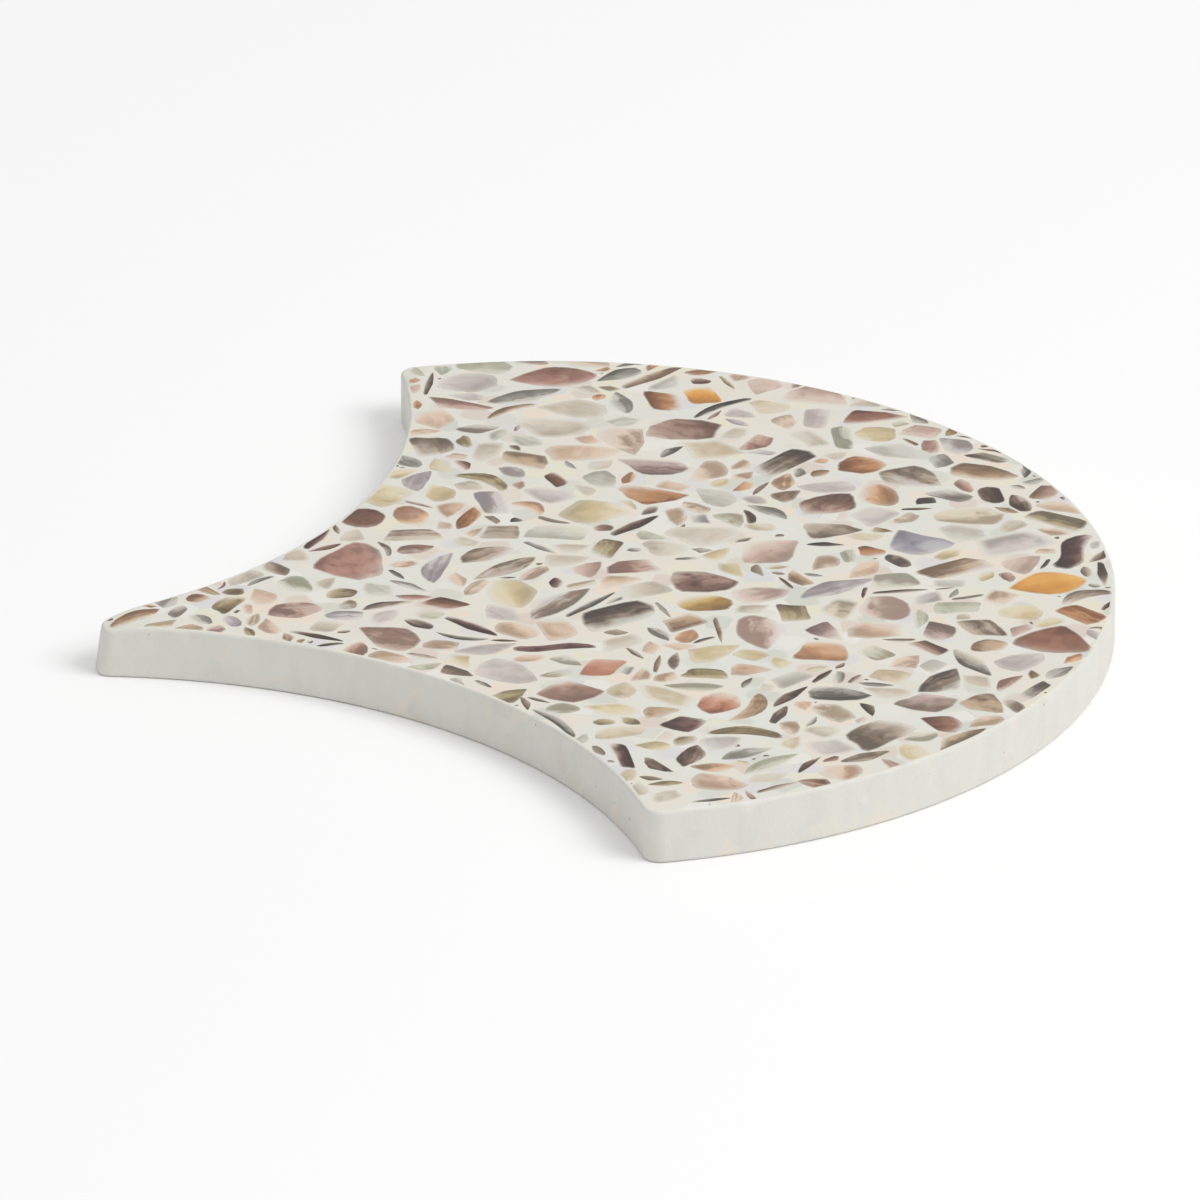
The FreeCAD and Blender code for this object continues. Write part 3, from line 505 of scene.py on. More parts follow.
class Bench:
    """Lays out the nodes of one tree and joins them."""

    def __init__(self, tree: bpy.types.NodeTree) -> None:
        """Take the tree to work on."""
        self.tree = tree

    def feed(self, socket: bpy.types.NodeSocket, value: Any) -> None:
        """Link another node's output to a socket, or set a plain value on it."""
        if isinstance(value, bpy.types.NodeSocket):
            self.tree.links.new(value, socket)
        else:
            socket.default_value = value

    def put(self, kind: str, inputs: dict | None = None, **settings: Any) -> bpy.types.Node:
        """Add a node.

        Args:
            kind: The node's type.
            inputs: What each input gets, by the socket's name or place.
            settings: Properties of the node.

        Returns:
            The node.
        """
        node = self.tree.nodes.new(kind)
        for name, value in settings.items():
            setattr(node, name, value)
        for key, value in (inputs or {}).items():
            self.feed(node.inputs[key], value)
        return node

    def sum(self, operation: str, first: Any, second: Any = 0.0) -> bpy.types.NodeSocket:
        """Work out one step of arithmetic on two numbers."""
        return self.put("ShaderNodeMath", {0: first, 1: second}, operation=operation).outputs[0]

    def vector(self, operation: str, first: Any, second: Any = (0.0, 0.0, 0.0)) -> bpy.types.NodeSocket:
        """Work out one step of arithmetic on two vectors."""
        node = self.put("ShaderNodeVectorMath", {0: first, 1: second}, operation=operation)
        return node.outputs["Value" if operation in ("DOT_PRODUCT", "LENGTH") else "Vector"]

    def spread(
        self, value: Any, source: tuple[float, float], target: tuple[float, float] = (0.0, 1.0),
    ) -> bpy.types.NodeSocket:
        """Carry a number smoothly from one range to another and hold it there.

        Args:
            value: The number.
            source: The range that it comes from.
            target: The range that it goes to.

        Returns:
            The socket with the result.
        """
        inputs = {"Value": value, "From Min": source[0], "From Max": source[1]}
        inputs |= {"To Min": target[0], "To Max": target[1]}
        return self.put("ShaderNodeMapRange", inputs, interpolation_type="SMOOTHSTEP").outputs["Result"]

    def noise(
        self, place: Any, scale: float, detail: float = 2.0, twist: float = 0.0,
    ) -> bpy.types.NodeSocket:
        """Make cloudy noise about one half at a place, in clouds per unit."""
        inputs = {"Vector": place, "Scale": scale, "Detail": detail, "Distortion": twist}
        return self.put("ShaderNodeTexNoise", inputs, noise_dimensions="3D").outputs["Fac"]

    def blend(self, share: Any, under: Any, over: Any, way: str = "MIX") -> bpy.types.NodeSocket:
        """Lay one colour over another by a share from 0 to 1."""
        node = self.put("ShaderNodeMix", {0: share, 6: under, 7: over}, data_type="RGBA", blend_type=way)
        return node.outputs[2]

    def read(self, name: str, output: str) -> bpy.types.NodeSocket:
        """Read an attribute that the mesh carries."""
        return self.put("ShaderNodeAttribute", attribute_name=name, attribute_type="GEOMETRY").outputs[output]


def new_material(name: str) -> tuple[bpy.types.Material, Bench, bpy.types.Node]:
    """Start a material.

    Args:
        name: The material's name.

    Returns:
        The material, the bench of its tree, and its shader.
    """
    material = bpy.data.materials.new(name)
    material.use_nodes = True
    bench = Bench(material.node_tree)
    return material, bench, material.node_tree.nodes["Principled BSDF"]


@dataclass(frozen=True)
class BinderFinish:
    """The pale cast binder, polished on the face and plain on the walls and the back.

    Attributes:
        face: Tone of the face.
        face_cool: Tone of the cool clouds in it.
        face_warm: Tone of the warm clouds in it.
        wall: Tone of the walls and the back.
        wall_stain: Tone of their scrapes.
        speck: Tone of the specks of grit.
        ghosts: Tones of the buried chips that shine through.
    """

    face: Rgb = (230, 227, 217)
    face_cool: Rgb = (224, 228, 220)
    face_warm: Rgb = (234, 224, 209)
    wall: Rgb = (222, 221, 214)
    wall_stain: Rgb = (209, 207, 198)
    speck: Rgb = (120, 108, 96)
    ghosts: tuple[Rgb, ...] = (
        (239, 222, 203), (233, 228, 204), (221, 218, 220), (210, 212, 200), (236, 234, 226), (222, 206, 192),
    )

    def make(self) -> bpy.types.Material:
        """Make the material: clouds, buried chips that shine through, specks, and duller walls."""
        material, bench, shader = new_material("cast_binder")
        place = bench.vector("SCALE", bench.put("ShaderNodeTexCoord").outputs["Object"])
        place.node.inputs["Scale"].default_value = 1 / MM
        lift = bench.put("ShaderNodeSeparateXYZ", {0: bench.put("ShaderNodeNewGeometry").outputs["Normal"]})
        on_face = bench.spread(lift.outputs["Z"], (0.75, 0.98))

        cloud = bench.spread(bench.noise(place, 0.11, 3.0, 0.6), (0.35, 0.65))
        face = bench.blend(cloud, linear(self.face_cool), linear(self.face_warm))
        face = bench.blend(0.5, face, linear(self.face))
        buried = bench.put("ShaderNodeTexVoronoi", {"Vector": place, "Scale": 0.3, "Smoothness": 0.12},
                           feature="SMOOTH_F1")
        sort = bench.put("ShaderNodeSeparateColor", {0: buried.outputs["Color"]})
        ramp = bench.put("ShaderNodeValToRGB", {0: sort.outputs["Red"]})
        ramp.color_ramp.interpolation = "CONSTANT"
        for number, tone in enumerate(self.ghosts):
            stops = ramp.color_ramp.elements
            stop = stops[number] if number < len(stops) else stops.new(1.0)
            stop.position = number / len(self.ghosts)
            stop.color = linear(tone)
        body = bench.spread(buried.outputs["Distance"], (0.68, 0.46))
        body = bench.sum("MULTIPLY", body, bench.spread(sort.outputs["Green"], (0.3, 0.7), (0.1, 0.8)))
        face = bench.blend(body, face, ramp.outputs["Color"])

        upright = bench.vector("MULTIPLY", place, (1.0, 1.0, 0.45))
        scrape = bench.spread(bench.noise(upright, 0.35, 3.0, 0.5), (0.35, 0.7), (0.0, 0.28))
        blotch = bench.spread(bench.noise(place, 0.2, 3.0, 0.8), (0.5, 0.72), (0.0, 0.4))
        wall = bench.blend(scrape, linear(self.wall), linear(self.wall_stain))
        wall = bench.blend(blotch, wall, ramp.outputs["Color"])
        skin = bench.blend(on_face, wall, face)

        grit = bench.put("ShaderNodeTexVoronoi", {"Vector": place, "Scale": 0.75}, feature="F1")
        chance = bench.put("ShaderNodeSeparateColor", {0: grit.outputs["Color"]}).outputs["Blue"]
        dot = bench.spread(grit.outputs["Distance"], (0.16, 0.08))
        dot = bench.sum("MULTIPLY", dot, bench.spread(chance, (0.9, 0.97), (0.0, 0.55)))
        bench.feed(shader.inputs["Base Color"], bench.blend(dot, skin, linear(self.speck)))

        grain = bench.noise(place, 2.6, 4.0)
        dull = bench.spread(grain, (0.3, 0.7), (0.46, 0.66))
        gloss = bench.spread(bench.noise(place, 0.5, 3.0), (0.3, 0.7), (0.2, 0.32))
        rough = bench.put("ShaderNodeMix", {0: on_face, 2: dull, 3: gloss}, data_type="FLOAT").outputs[0]
        bench.feed(shader.inputs["Roughness"], rough)
        depths = {0: on_face, 2: 0.035 * MM, 3: 0.002 * MM}
        depth = bench.put("ShaderNodeMix", depths, data_type="FLOAT").outputs[0]
        bump = bench.put("ShaderNodeBump", {"Strength": 1.0, "Distance": depth, "Height": grain})
        bench.feed(shader.inputs["Normal"], bump.outputs["Normal"])
        shader.inputs["IOR"].default_value = 1.5
        shader.inputs["Specular IOR Level"].default_value = 0.3
        return material


@dataclass(frozen=True)
class NacreFinish:
    """Ground and polished shell, from pearl on its inner side to a dark line on its outer side.

    Attributes:
        binder: Tone that the rims fade to.
        blush: Warm tint, as a share of each linear colour that is left.
        sea: Cool tint, given likewise.
    """

    binder: Rgb = (230, 225, 213)
    blush: tuple[float, float, float, float] = (1.0, 0.96, 0.91, 1.0)
    sea: tuple[float, float, float, float] = (0.97, 0.985, 0.94, 1.0)

    def make(self) -> bpy.types.Material:
        """Make the material: one ramp of tones, moved by side, clouds, layers, spots and the rim."""
        material, bench, shader = new_material("polished_shell")
        grain = bench.read("grain", "Vector")
        rim = bench.read("rim", "Fac")
        streak = bench.read("streak", "Fac")
        light = bench.read("light", "Color")
        dark = bench.read("dark", "Color")

        apart = bench.put("ShaderNodeCombineXYZ", {"Z": bench.read("sort", "Fac")}).outputs[0]
        flat = bench.vector("MULTIPLY", bench.read("unit", "Vector"), (1.0, 1.0, 0.0))
        unit = bench.vector("ADD", flat, apart)

        parting = bench.sum("MULTIPLY", bench.read("fade", "Fac"), bench.read("contrast", "Fac"))
        lean = bench.sum("ADD", bench.sum("MULTIPLY", parting, 1.3), bench.read("bias", "Fac"))
        cloud = bench.spread(bench.noise(grain, 0.3, 2.0, 0.6), (0.25, 0.75), (-0.18, 0.18))
        lean = bench.sum("ADD", lean, cloud)

        ripple = bench.spread(bench.noise(grain, 0.45, 2.0), (0.2, 0.8), (-0.1, 0.1))
        bent = bench.vector("ADD", unit, bench.put("ShaderNodeCombineXYZ", {"Y": ripple}).outputs[0])
        layers = bench.vector("MULTIPLY", bent, (0.45, 4.0, 1.0))
        band = bench.spread(bench.noise(layers, 1.0, 2.0, 0.1), (0.3, 0.7), (-0.28, 0.28))
        lean = bench.sum("ADD", lean, bench.sum("MULTIPLY", band, streak))
        line = bench.spread(bench.noise(layers, 3.2, 2.0, 0.1), (0.3, 0.7), (-0.09, 0.09))
        lean = bench.sum("ADD", lean, bench.sum("MULTIPLY", line, streak))
        spot = bench.spread(bench.noise(grain, 0.5, 2.0, 0.4), (0.6, 0.76), (0.0, 0.25))
        lean = bench.sum("ADD", lean, spot)
        rise = bench.spread(rim, (0.3, 0.0), (0.0, 0.12))
        lean = bench.sum("ADD", lean, bench.sum("MULTIPLY", rise, bench.spread(lean, (-0.1, 0.2))))

        pearl = bench.blend(0.6, light, bench.read("sheen", "Color"))
        shell = bench.blend(bench.spread(lean, (-0.5, -0.1)), pearl, light)
        shell = bench.blend(bench.spread(lean, (-0.16, 0.3)), shell, dark)
        shell = bench.blend(bench.spread(lean, (0.22, 0.62)), shell, bench.read("deep", "Color"))

        tint = bench.blend(bench.spread(bench.noise(grain, 0.35, 1.0), (0.4, 0.6)), self.blush, self.sea)
        shell = bench.blend(0.7, shell, tint, "MULTIPLY")
        fading = bench.sum("MULTIPLY", bench.spread(rim, (0.55, 0.0)), bench.read("soft", "Fac"))
        fading = bench.sum("MAXIMUM", fading, bench.spread(rim, (0.16, 0.0), (0.0, 0.5)))
        pale_side = bench.spread(parting, (0.0, -0.35), (0.0, 0.7))
        fading = bench.sum("MAXIMUM", fading, bench.sum("MULTIPLY", bench.spread(rim, (0.6, 0.0)), pale_side))
        bench.feed(shader.inputs["Base Color"], bench.blend(fading, shell, linear(self.binder)))

        gloss = bench.spread(bench.noise(grain, 1.5, 2.0), (0.3, 0.7), (0.16, 0.3))
        bench.feed(shader.inputs["Roughness"], gloss)
        shader.inputs["IOR"].default_value = 1.53
        shader.inputs["Specular IOR Level"].default_value = 0.3
        return material


@dataclass(frozen=True)
class FloorFinish:
    """A plain pale studio floor that shows from above only."""

    tone: Rgb = (255, 255, 255)
    shade: Rgb = (253, 253, 253)

    def make(self) -> bpy.types.Material:
        """Make the material, clear from below so that the bedding face can be looked at."""
        material, bench, shader = new_material("studio_floor")
        place = bench.put("ShaderNodeTexCoord").outputs["Object"]
        cloud = bench.noise(place, 3.0, 2.0)
        bench.feed(shader.inputs["Base Color"], bench.blend(cloud, linear(self.tone), linear(self.shade)))
        shader.inputs["Roughness"].default_value = 0.9
        shader.inputs["Specular IOR Level"].default_value = 0.0
        below = bench.put("ShaderNodeNewGeometry").outputs["Backfacing"]
        clear = bench.put("ShaderNodeBsdfTransparent").outputs[0]
        mix = bench.put("ShaderNodeMixShader", {0: below, 1: shader.outputs[0], 2: clear})
        bench.feed(material.node_tree.nodes["Material Output"].inputs["Surface"], mix.outputs[0])
        return material


@dataclass(frozen=True)
class TileFace:
    """The polished face, in mm, with its origin at the centre of the half-round head.

    Attributes:
        head_radius: Radius of the half-round head.
        tip_reach: From the centre of the head to the foot of the tip.
        height: Height of the face over the floor.
        joint_width: Joint between a hollow flank and the head that it takes.
        shoulder_length: Straight stretch between the head and a flank.
        shoulder_round: Radius of a shoulder's corner.
        tip_lean: How far the tip's end leans back at the face.
        tip_fall: How far the face falls at the tip.
        tip_fall_length: Length over which it falls.
    """

    head_radius: float
    tip_reach: float
    height: float
    joint_width: float = 1.5
    shoulder_length: float = 3.0
    shoulder_round: float = 2.0
    tip_lean: float = 1.0
    tip_fall: float = 1.2
    tip_fall_length: float = 6.0

    @property
    def hollow_radius(self) -> float:
        """Radius of the hollow flanks."""
        return self.head_radius + self.joint_width

    @property
    def hollow_centre(self) -> tuple[float, float]:
        """Centre of the right hollow, across and along."""
        return self.head_radius + self.joint_width / 2, -self.hollow_radius - self.shoulder_length

    @property
    def fall_start(self) -> float:
        """Place along the tile where the face begins to fall towards the tip."""
        return self.tip_fall_length - self.tip_reach

    @property
    def fall_radius(self) -> float:
        """Radius of the arc by which the face falls."""
        return (self.tip_fall_length**2 + self.tip_fall**2) / (2 * self.tip_fall)

    def inside(self, points: np.ndarray, margin: float) -> np.ndarray:
        """Tell which points lie on the face, clear of its edge.

        Args:
            points: Places across and along the tile, one to a row.
            margin: Least distance from the edge.

        Returns:
            True for each point that lies clear of the edge.
        """
        across = np.abs(points[..., 0])
        along = points[..., 1]
        head = np.hypot(across, along) <= self.head_radius - margin
        centre = self.hollow_centre
        past_flank = np.hypot(across - centre[0], along - centre[1]) >= self.hollow_radius + margin
        corner = (self.head_radius - self.shoulder_round, self.shoulder_round - self.shoulder_length)
        rounded = np.hypot(across - corner[0], along - corner[1]) <= self.shoulder_round - margin
        in_corner = (across > corner[0]) & (along < corner[1])
        body = (across <= self.head_radius - margin) & (along >= margin + self.tip_lean - self.tip_reach)
        body = body & past_flank
        return np.where(along > 0, head, body & (rounded | ~in_corner))

    def outline(self, inset: float, count: int = 720) -> np.ndarray:
        """Give points round the face, in order, each at least the same distance in from its edge.

        Args:
            inset: The distance from the edge.
            count: How many points.

        Returns:
            The points, across and along, one to a row.
        """
        angles = np.linspace(0, math.tau, count, endpoint=False)
        ways = np.stack([np.cos(angles), np.sin(angles)], 1)
        fine = 0.05
        reach = np.arange(0.0, self.head_radius, fine)
        steps = self.inside(ways[:, None] * reach[:, None], inset).sum(1)
        return ways * reach[steps - 1][:, None]

    def by_corner(self, points: np.ndarray) -> np.ndarray:
        """Tell which points lie by a shoulder or by the tip, where the edge turns and cuts no chip."""
        shoulder = np.abs(points[..., 0]) > self.head_radius - 2 * self.shoulder_round
        tip = points[..., 1] < 3 * self.tip_lean - self.tip_reach
        return tip | (shoulder & (points[..., 1] < self.shoulder_length))


class CutShop:
    """Cuts the outlines of the chips, a few of each form, each within a box of one by one.

    Attributes:
        CUTS: How many cuts there are of each form.
        SOFTEST: Number of corners from which edges stay straight between them.
        CORNER_SHARE: Share of an edge that the rounding of a corner takes.
        BENDS: How far each cut of a sliver is bent, in widths.
        WAVY_CUT: The cut of a sliver that bends both ways.
        RING: Size of the ring within the top, as a share of the outline.
        FOOT: Size of the foot, as a share of the outline.
    """

    CUTS = 12
    SOFTEST = 8
    WAVY_CUT = 3
    RING = 0.66
    FOOT = 0.7
    CORNER_SHARE = {
        Form.PLATE: 0.22, Form.OVAL: 0.3, Form.FIN: 0.18, Form.BLOCK: 0.17, Form.SLIVER: 0.3, Form.LENS: 0.25,
        Form.KITE: 0.2,
    }
    BENDS = (0.0, 1.1, -1.1, 0.8, 0.3, -0.3, 0.6, -0.6, 0.15, -0.15, 0.45, -0.45)

    def corners(self, form: Form, rng: np.random.Generator) -> np.ndarray:
        """Draw the corners of a form, counter-clockwise, about the middle.

        Args:
            form: The outline wanted.
            rng: Source of the small differences between cuts.

        Returns:
            The corners, one to a row.
        """
        if form in (Form.PLATE, Form.OVAL):
            count, wander, reach = (6, 0.42, (0.66, 1.1)) if form is Form.PLATE else (7, 0.26, (0.8, 1.1))
            angles = np.linspace(0, math.tau, count, endpoint=False) + rng.uniform(-wander, wander, count)
            base = np.stack([np.cos(angles), np.sin(angles)], 1) * rng.uniform(*reach, (count, 1))
        elif form is Form.FIN:
            base = np.array([(-1.0, -0.7), (0.3, -1.0), (1.0, -0.5), (0.45, 0.75), (-0.1, 1.0)])
            base = base + rng.uniform(-0.3, 0.3, base.shape)
        elif form is Form.KITE:
            base = np.array([(-1.0, 0.1), (-0.2, -0.9), (1.0, -0.1), (0.1, 0.95)])
            base = base + rng.uniform(-0.35, 0.35, base.shape)
        elif form is Form.BLOCK:
            lean_in, lean_out = rng.uniform(-0.3, 0.3, 2)
            near, far = (lean_in - 0.9, 0.9 - lean_out), (-lean_in - 0.9, 0.9 + lean_out)
            base = np.array([(near[0], -1.0), (near[1], -1.0), (far[1], 1.0), (far[0], 1.0)])
            base = base + rng.uniform(-0.2, 0.2, base.shape)
        else:
            stations = np.array([-1.0, -0.55, 0.0, 0.5, 1.0])
            blunt = np.array([0.6, 0.95, 1.0, 0.8, 0.3]) + rng.uniform(-0.2, 0.2, 5)
            if form is Form.SLIVER:
                above = blunt
            else:
                above = np.array([0.12, 0.75, 1.0, 0.6, 0.04]) + rng.uniform(0, 0.12, 5)
            below = above * rng.uniform(0.8, 1.1, 5) if form is Form.SLIVER else above * rng.uniform(0.2, 0.9)
            under = np.stack([stations, -below], 1)
            base = np.concatenate([under, np.stack([stations, above], 1)[::-1]])
        for side in (0, 1):
            if rng.random() < 0.5:
                base[:, side] *= -1
                base = base[::-1]
        return base

    def outline(self, form: Form, cut: int) -> np.ndarray:
        """Give one straight cut of a form, its corners rounded and, where they are few, its edges bowed.

        Args:
            form: The outline wanted.
            cut: Which of its cuts.

        Returns:
            The outline, counter-clockwise, from -0.5 to 0.5 both ways.
        """
        rng = np.random.default_rng((SEED, form.value, cut))
        corners = self.corners(form, rng)
        corners = (corners - (corners.max(0) + corners.min(0)) / 2) / np.ptp(corners, axis=0)
        share = np.clip(self.CORNER_SHARE[form] * rng.uniform(0.25, 1.6, (len(corners), 1)), 0.05, 0.45)
        start = corners + share * (np.roll(corners, 1, axis=0) - corners)
        end = corners + share * (np.roll(corners, -1, axis=0) - corners)
        crown = (start + end) / 4 + corners / 2
        edge = np.roll(start, -1, axis=0) - end
        bow = np.stack([edge[:, 1], -edge[:, 0]], 1) * rng.uniform(-0.05, 0.11, (len(corners), 1))
        points = [start, crown, end, end + edge / 2 + bow] if len(corners) < self.SOFTEST else [start, end]
        return np.stack(points, 1).reshape(-1, 2)

    def bend(self, form: Form, cut: int, points: np.ndarray) -> np.ndarray:
        """Bend the points of a sliver as its cut says, by shares of its width.

        Args:
            form: The outline; only a sliver bends.
            cut: Which of its cuts.
            points: Places within the straight cut.

        Returns:
            The places after bending.
        """
        bent = points.copy()
        if form is Form.SLIVER:
            reach = 2 * points[:, 0]
            wave = np.sin(math.pi * reach) * 0.5 if cut == self.WAVY_CUT else 0.5 - reach**2
            bent[:, 1] += self.BENDS[cut] * wave * 0.5
        return bent

    def mesh(self, form: Form, cut: int) -> bpy.types.Mesh:
        """Make one closed chip of unit size: its ground top at height 0, tapering to a foot one below.

        Args:
            form: The outline wanted.
            cut: Which of its cuts.

        Returns:
            The mesh, which carries each point's straight place and its share of the way from the rim.
        """
        outline = self.outline(form, cut)
        count = len(outline)
        rings = [(outline, 0.0, 0.0), (outline * self.RING, 0.0, 0.5), (outline * self.FOOT, -1.0, 0.0)]
        straight = np.concatenate([ring for ring, _, _ in rings] + [np.zeros((1, 2))])
        heights = np.concatenate([np.full(count, height) for _, height, _ in rings] + [np.zeros(1)])
        shares = np.concatenate([np.full(count, share) for _, _, share in rings] + [np.ones(1)])
        places = np.column_stack([self.bend(form, cut, straight), heights])

        faces = [tuple(range(3 * count - 1, 2 * count - 1, -1))]
        for here in range(count):
            there = (here + 1) % count
            faces.append((here, there, count + there, count + here))
            faces.append((count + here, count + there, 3 * count))
            faces.append((2 * count + here, 2 * count + there, there, here))
        mesh = bpy.data.meshes.new(f"cut_{form.value}_{cut:02d}")
        mesh.from_pydata(places.tolist(), [], faces)
        mesh.attributes.new("rim", "FLOAT", "POINT").data.foreach_set("value", shares)
        unit = np.column_stack([straight, heights]).ravel()
        mesh.attributes.new("unit", "FLOAT_VECTOR", "POINT").data.foreach_set("vector", unit)
        return mesh


class Board:
    """The face as a grid of cells, on which room for each chip is found and taken.

    Attributes:
        CELL: Side of a cell, in mm.
        APRON: Width of the grid beyond the face, in mm.
        OVERHANG: Largest share of a chip that the edge may cut off.
        SHRINK: Shares of its size that a listed chip is tried at.
        SHIFTS: Distances that it is tried at from its place, in mm.
        WAYS: In how many directions it is shifted.
        TRIES: How many places a strewn chip is tried at.
        INNER_RING: Size of the ring of points within a chip that have to be free.
    """

    CELL = 0.2
    APRON = 6.0
    OVERHANG = 0.35
    WAYS = 16
    TRIES = 500
    INNER_RING = 0.55
    SHRINK = (1.0, 0.95, 0.9, 0.84, 0.78, 0.7)
    SHIFTS = (0.0, 0.4, 0.8, 1.2, 1.7)

    def __init__(self, face: TileFace, margin: float, shop: CutShop) -> None:
        """Rule the grid, with an apron round the face for what the edge cuts off, and bar the corners."""
        self.face = face
        self.shop = shop
        self.corner = np.array([-face.head_radius, -face.tip_reach]) - self.APRON
        reach = np.array([face.head_radius, face.head_radius]) + self.APRON - self.corner
        self.shape = np.ceil(reach / self.CELL).astype(int)
        columns, rows = np.meshgrid(np.arange(self.shape[0]), np.arange(self.shape[1]), indexing="ij")
        self.places = np.stack([columns, rows], -1) * self.CELL + self.corner + self.CELL / 2
        self.outside = ~face.inside(self.places, margin)
        self.barred = self.outside & face.by_corner(self.places)

    def contour(self, chip: Chip, grow: float = 0.0) -> np.ndarray:
        """Give the outline of a chip about its own middle, turned, and widened all round by grow."""
        outline = self.shop.bend(chip.form, chip.cut, self.shop.outline(chip.form, chip.cut))
        outline = outline * (chip.length + 2 * grow, chip.width + 2 * grow)
        turn = math.radians(90 - chip.turn)
        spin = np.array([(math.cos(turn), math.sin(turn)), (-math.sin(turn), math.cos(turn))])
        return outline @ spin

    def cells(self, points: np.ndarray) -> tuple[np.ndarray, np.ndarray]:
        """Give the column and the row of the cell that each point falls on."""
        cells = np.floor((points - self.corner) / self.CELL).astype(int)
        cells = np.clip(cells, 0, self.shape - 1)
        return cells[..., 0], cells[..., 1]

    def free(self, contour: np.ndarray, spots: np.ndarray) -> np.ndarray:
        """Tell at which spots a chip touches no other and at most a small part of it is cut off by the edge.

        Args:
            contour: The chip's outline about its middle.
            spots: Places for its middle, one to a row.

        Returns:
            True for each spot that has room.
        """
        cells = self.cells(self.samples(contour) + spots[:, None])
        beyond = self.outside[cells]
        return ~self.barred[cells].any(1) & (beyond.mean(1) <= self.OVERHANG) & ~beyond[:, -1]

    def samples(self, contour: np.ndarray) -> np.ndarray:
        """Give the points of a chip that have to be free: its outline, a ring within it and its middle."""
        return np.concatenate([contour, contour * self.INNER_RING, np.zeros((1, 2))])

    def take(self, chip: Chip, gap: float) -> None:
        """Bar the cells that a chip and the binder round it cover."""
        contour = self.contour(chip, gap) + (chip.across, chip.along)
        low = np.clip(np.floor((contour.min(0) - self.corner) / self.CELL).astype(int), 0, self.shape)
        high = np.clip(np.ceil((contour.max(0) - self.corner) / self.CELL).astype(int) + 1, 0, self.shape)
        window = self.places[low[0]:high[0], low[1]:high[1]]
        across, along = window[..., 0, None], window[..., 1, None]
        start, end = contour, np.roll(contour, -1, axis=0)
        crosses = (start[:, 1] > along) != (end[:, 1] > along)
        rise = np.where(end[:, 1] == start[:, 1], 1.0, end[:, 1] - start[:, 1])
        meets = start[:, 0] + (along - start[:, 1]) * (end[:, 0] - start[:, 0]) / rise
        covered = (crosses & (across < meets)).sum(-1) % 2 == 1
        self.barred[low[0]:high[0], low[1]:high[1]] |= covered

    def settle(self, chip: Chip, gap: float) -> Chip | None:
        """Set a listed chip, moved or trimmed a little where it would touch another chip.

        Args:
            chip: The chip where it is wanted.
            gap: Binder left round it, in mm.

        Returns:
            The chip as it is set, or None where there is no room.
        """
        angles = np.linspace(0, math.tau, self.WAYS, endpoint=False)
        for shrink in self.SHRINK:
            trimmed = replace(chip, length=chip.length * shrink, width=chip.width * shrink)
            contour = self.contour(trimmed)
            for shift in self.SHIFTS:
                moves = shift * np.stack([np.cos(angles), np.sin(angles)], 1) + (chip.across, chip.along)
                free = self.free(contour, moves)
                if free.any():
                    across, along = moves[int(np.argmax(free))]
                    placed = replace(trimmed, across=float(across), along=float(along))
                    self.take(placed, gap)
                    return placed
        return None

    def sow(self, sowing: Sowing, rng: np.random.Generator) -> list[Chip]:
        """Strew one sort of chip into the room that is left, each where it lies tightest.

        Args:
            sowing: The sort of chip.
            rng: Source of sizes, forms, tones and places.

        Returns:
            The chips that found room.
        """
        strewn = []
        for _ in range(sowing.count):
            length = rng.uniform(*sowing.length)
            chip = Chip(
                0.0, 0.0, length, length * rng.uniform(*sowing.slender), rng.uniform(-90, 90),
                sowing.forms[rng.integers(len(sowing.forms))], sowing.tones[rng.integers(len(sowing.tones))],
                rng.uniform(*sowing.streak), rng.uniform(*sowing.soft), int(rng.integers(self.shop.CUTS)),
            )
            closed = self.barred | self.outside
            open_cells = np.argwhere(~closed)
            spots = self.places[tuple(open_cells[rng.integers(len(open_cells), size=self.TRIES)].T)]
            spots = spots + rng.uniform(-0.5, 0.5, spots.shape) * self.CELL
            free = self.free(self.contour(chip), spots)
            if not free.any():
                continue
            halo = self.contour(chip, 2 * sowing.gap)
            snug = closed[self.cells(halo + spots[:, None])].sum(1)
            across, along = spots[int(np.argmax(np.where(free, snug, -1)))]
            placed = replace(chip, across=float(across), along=float(along))
            self.take(placed, sowing.gap * rng.uniform(0.4, 1.6))
            strewn.append(placed)
        return strewn


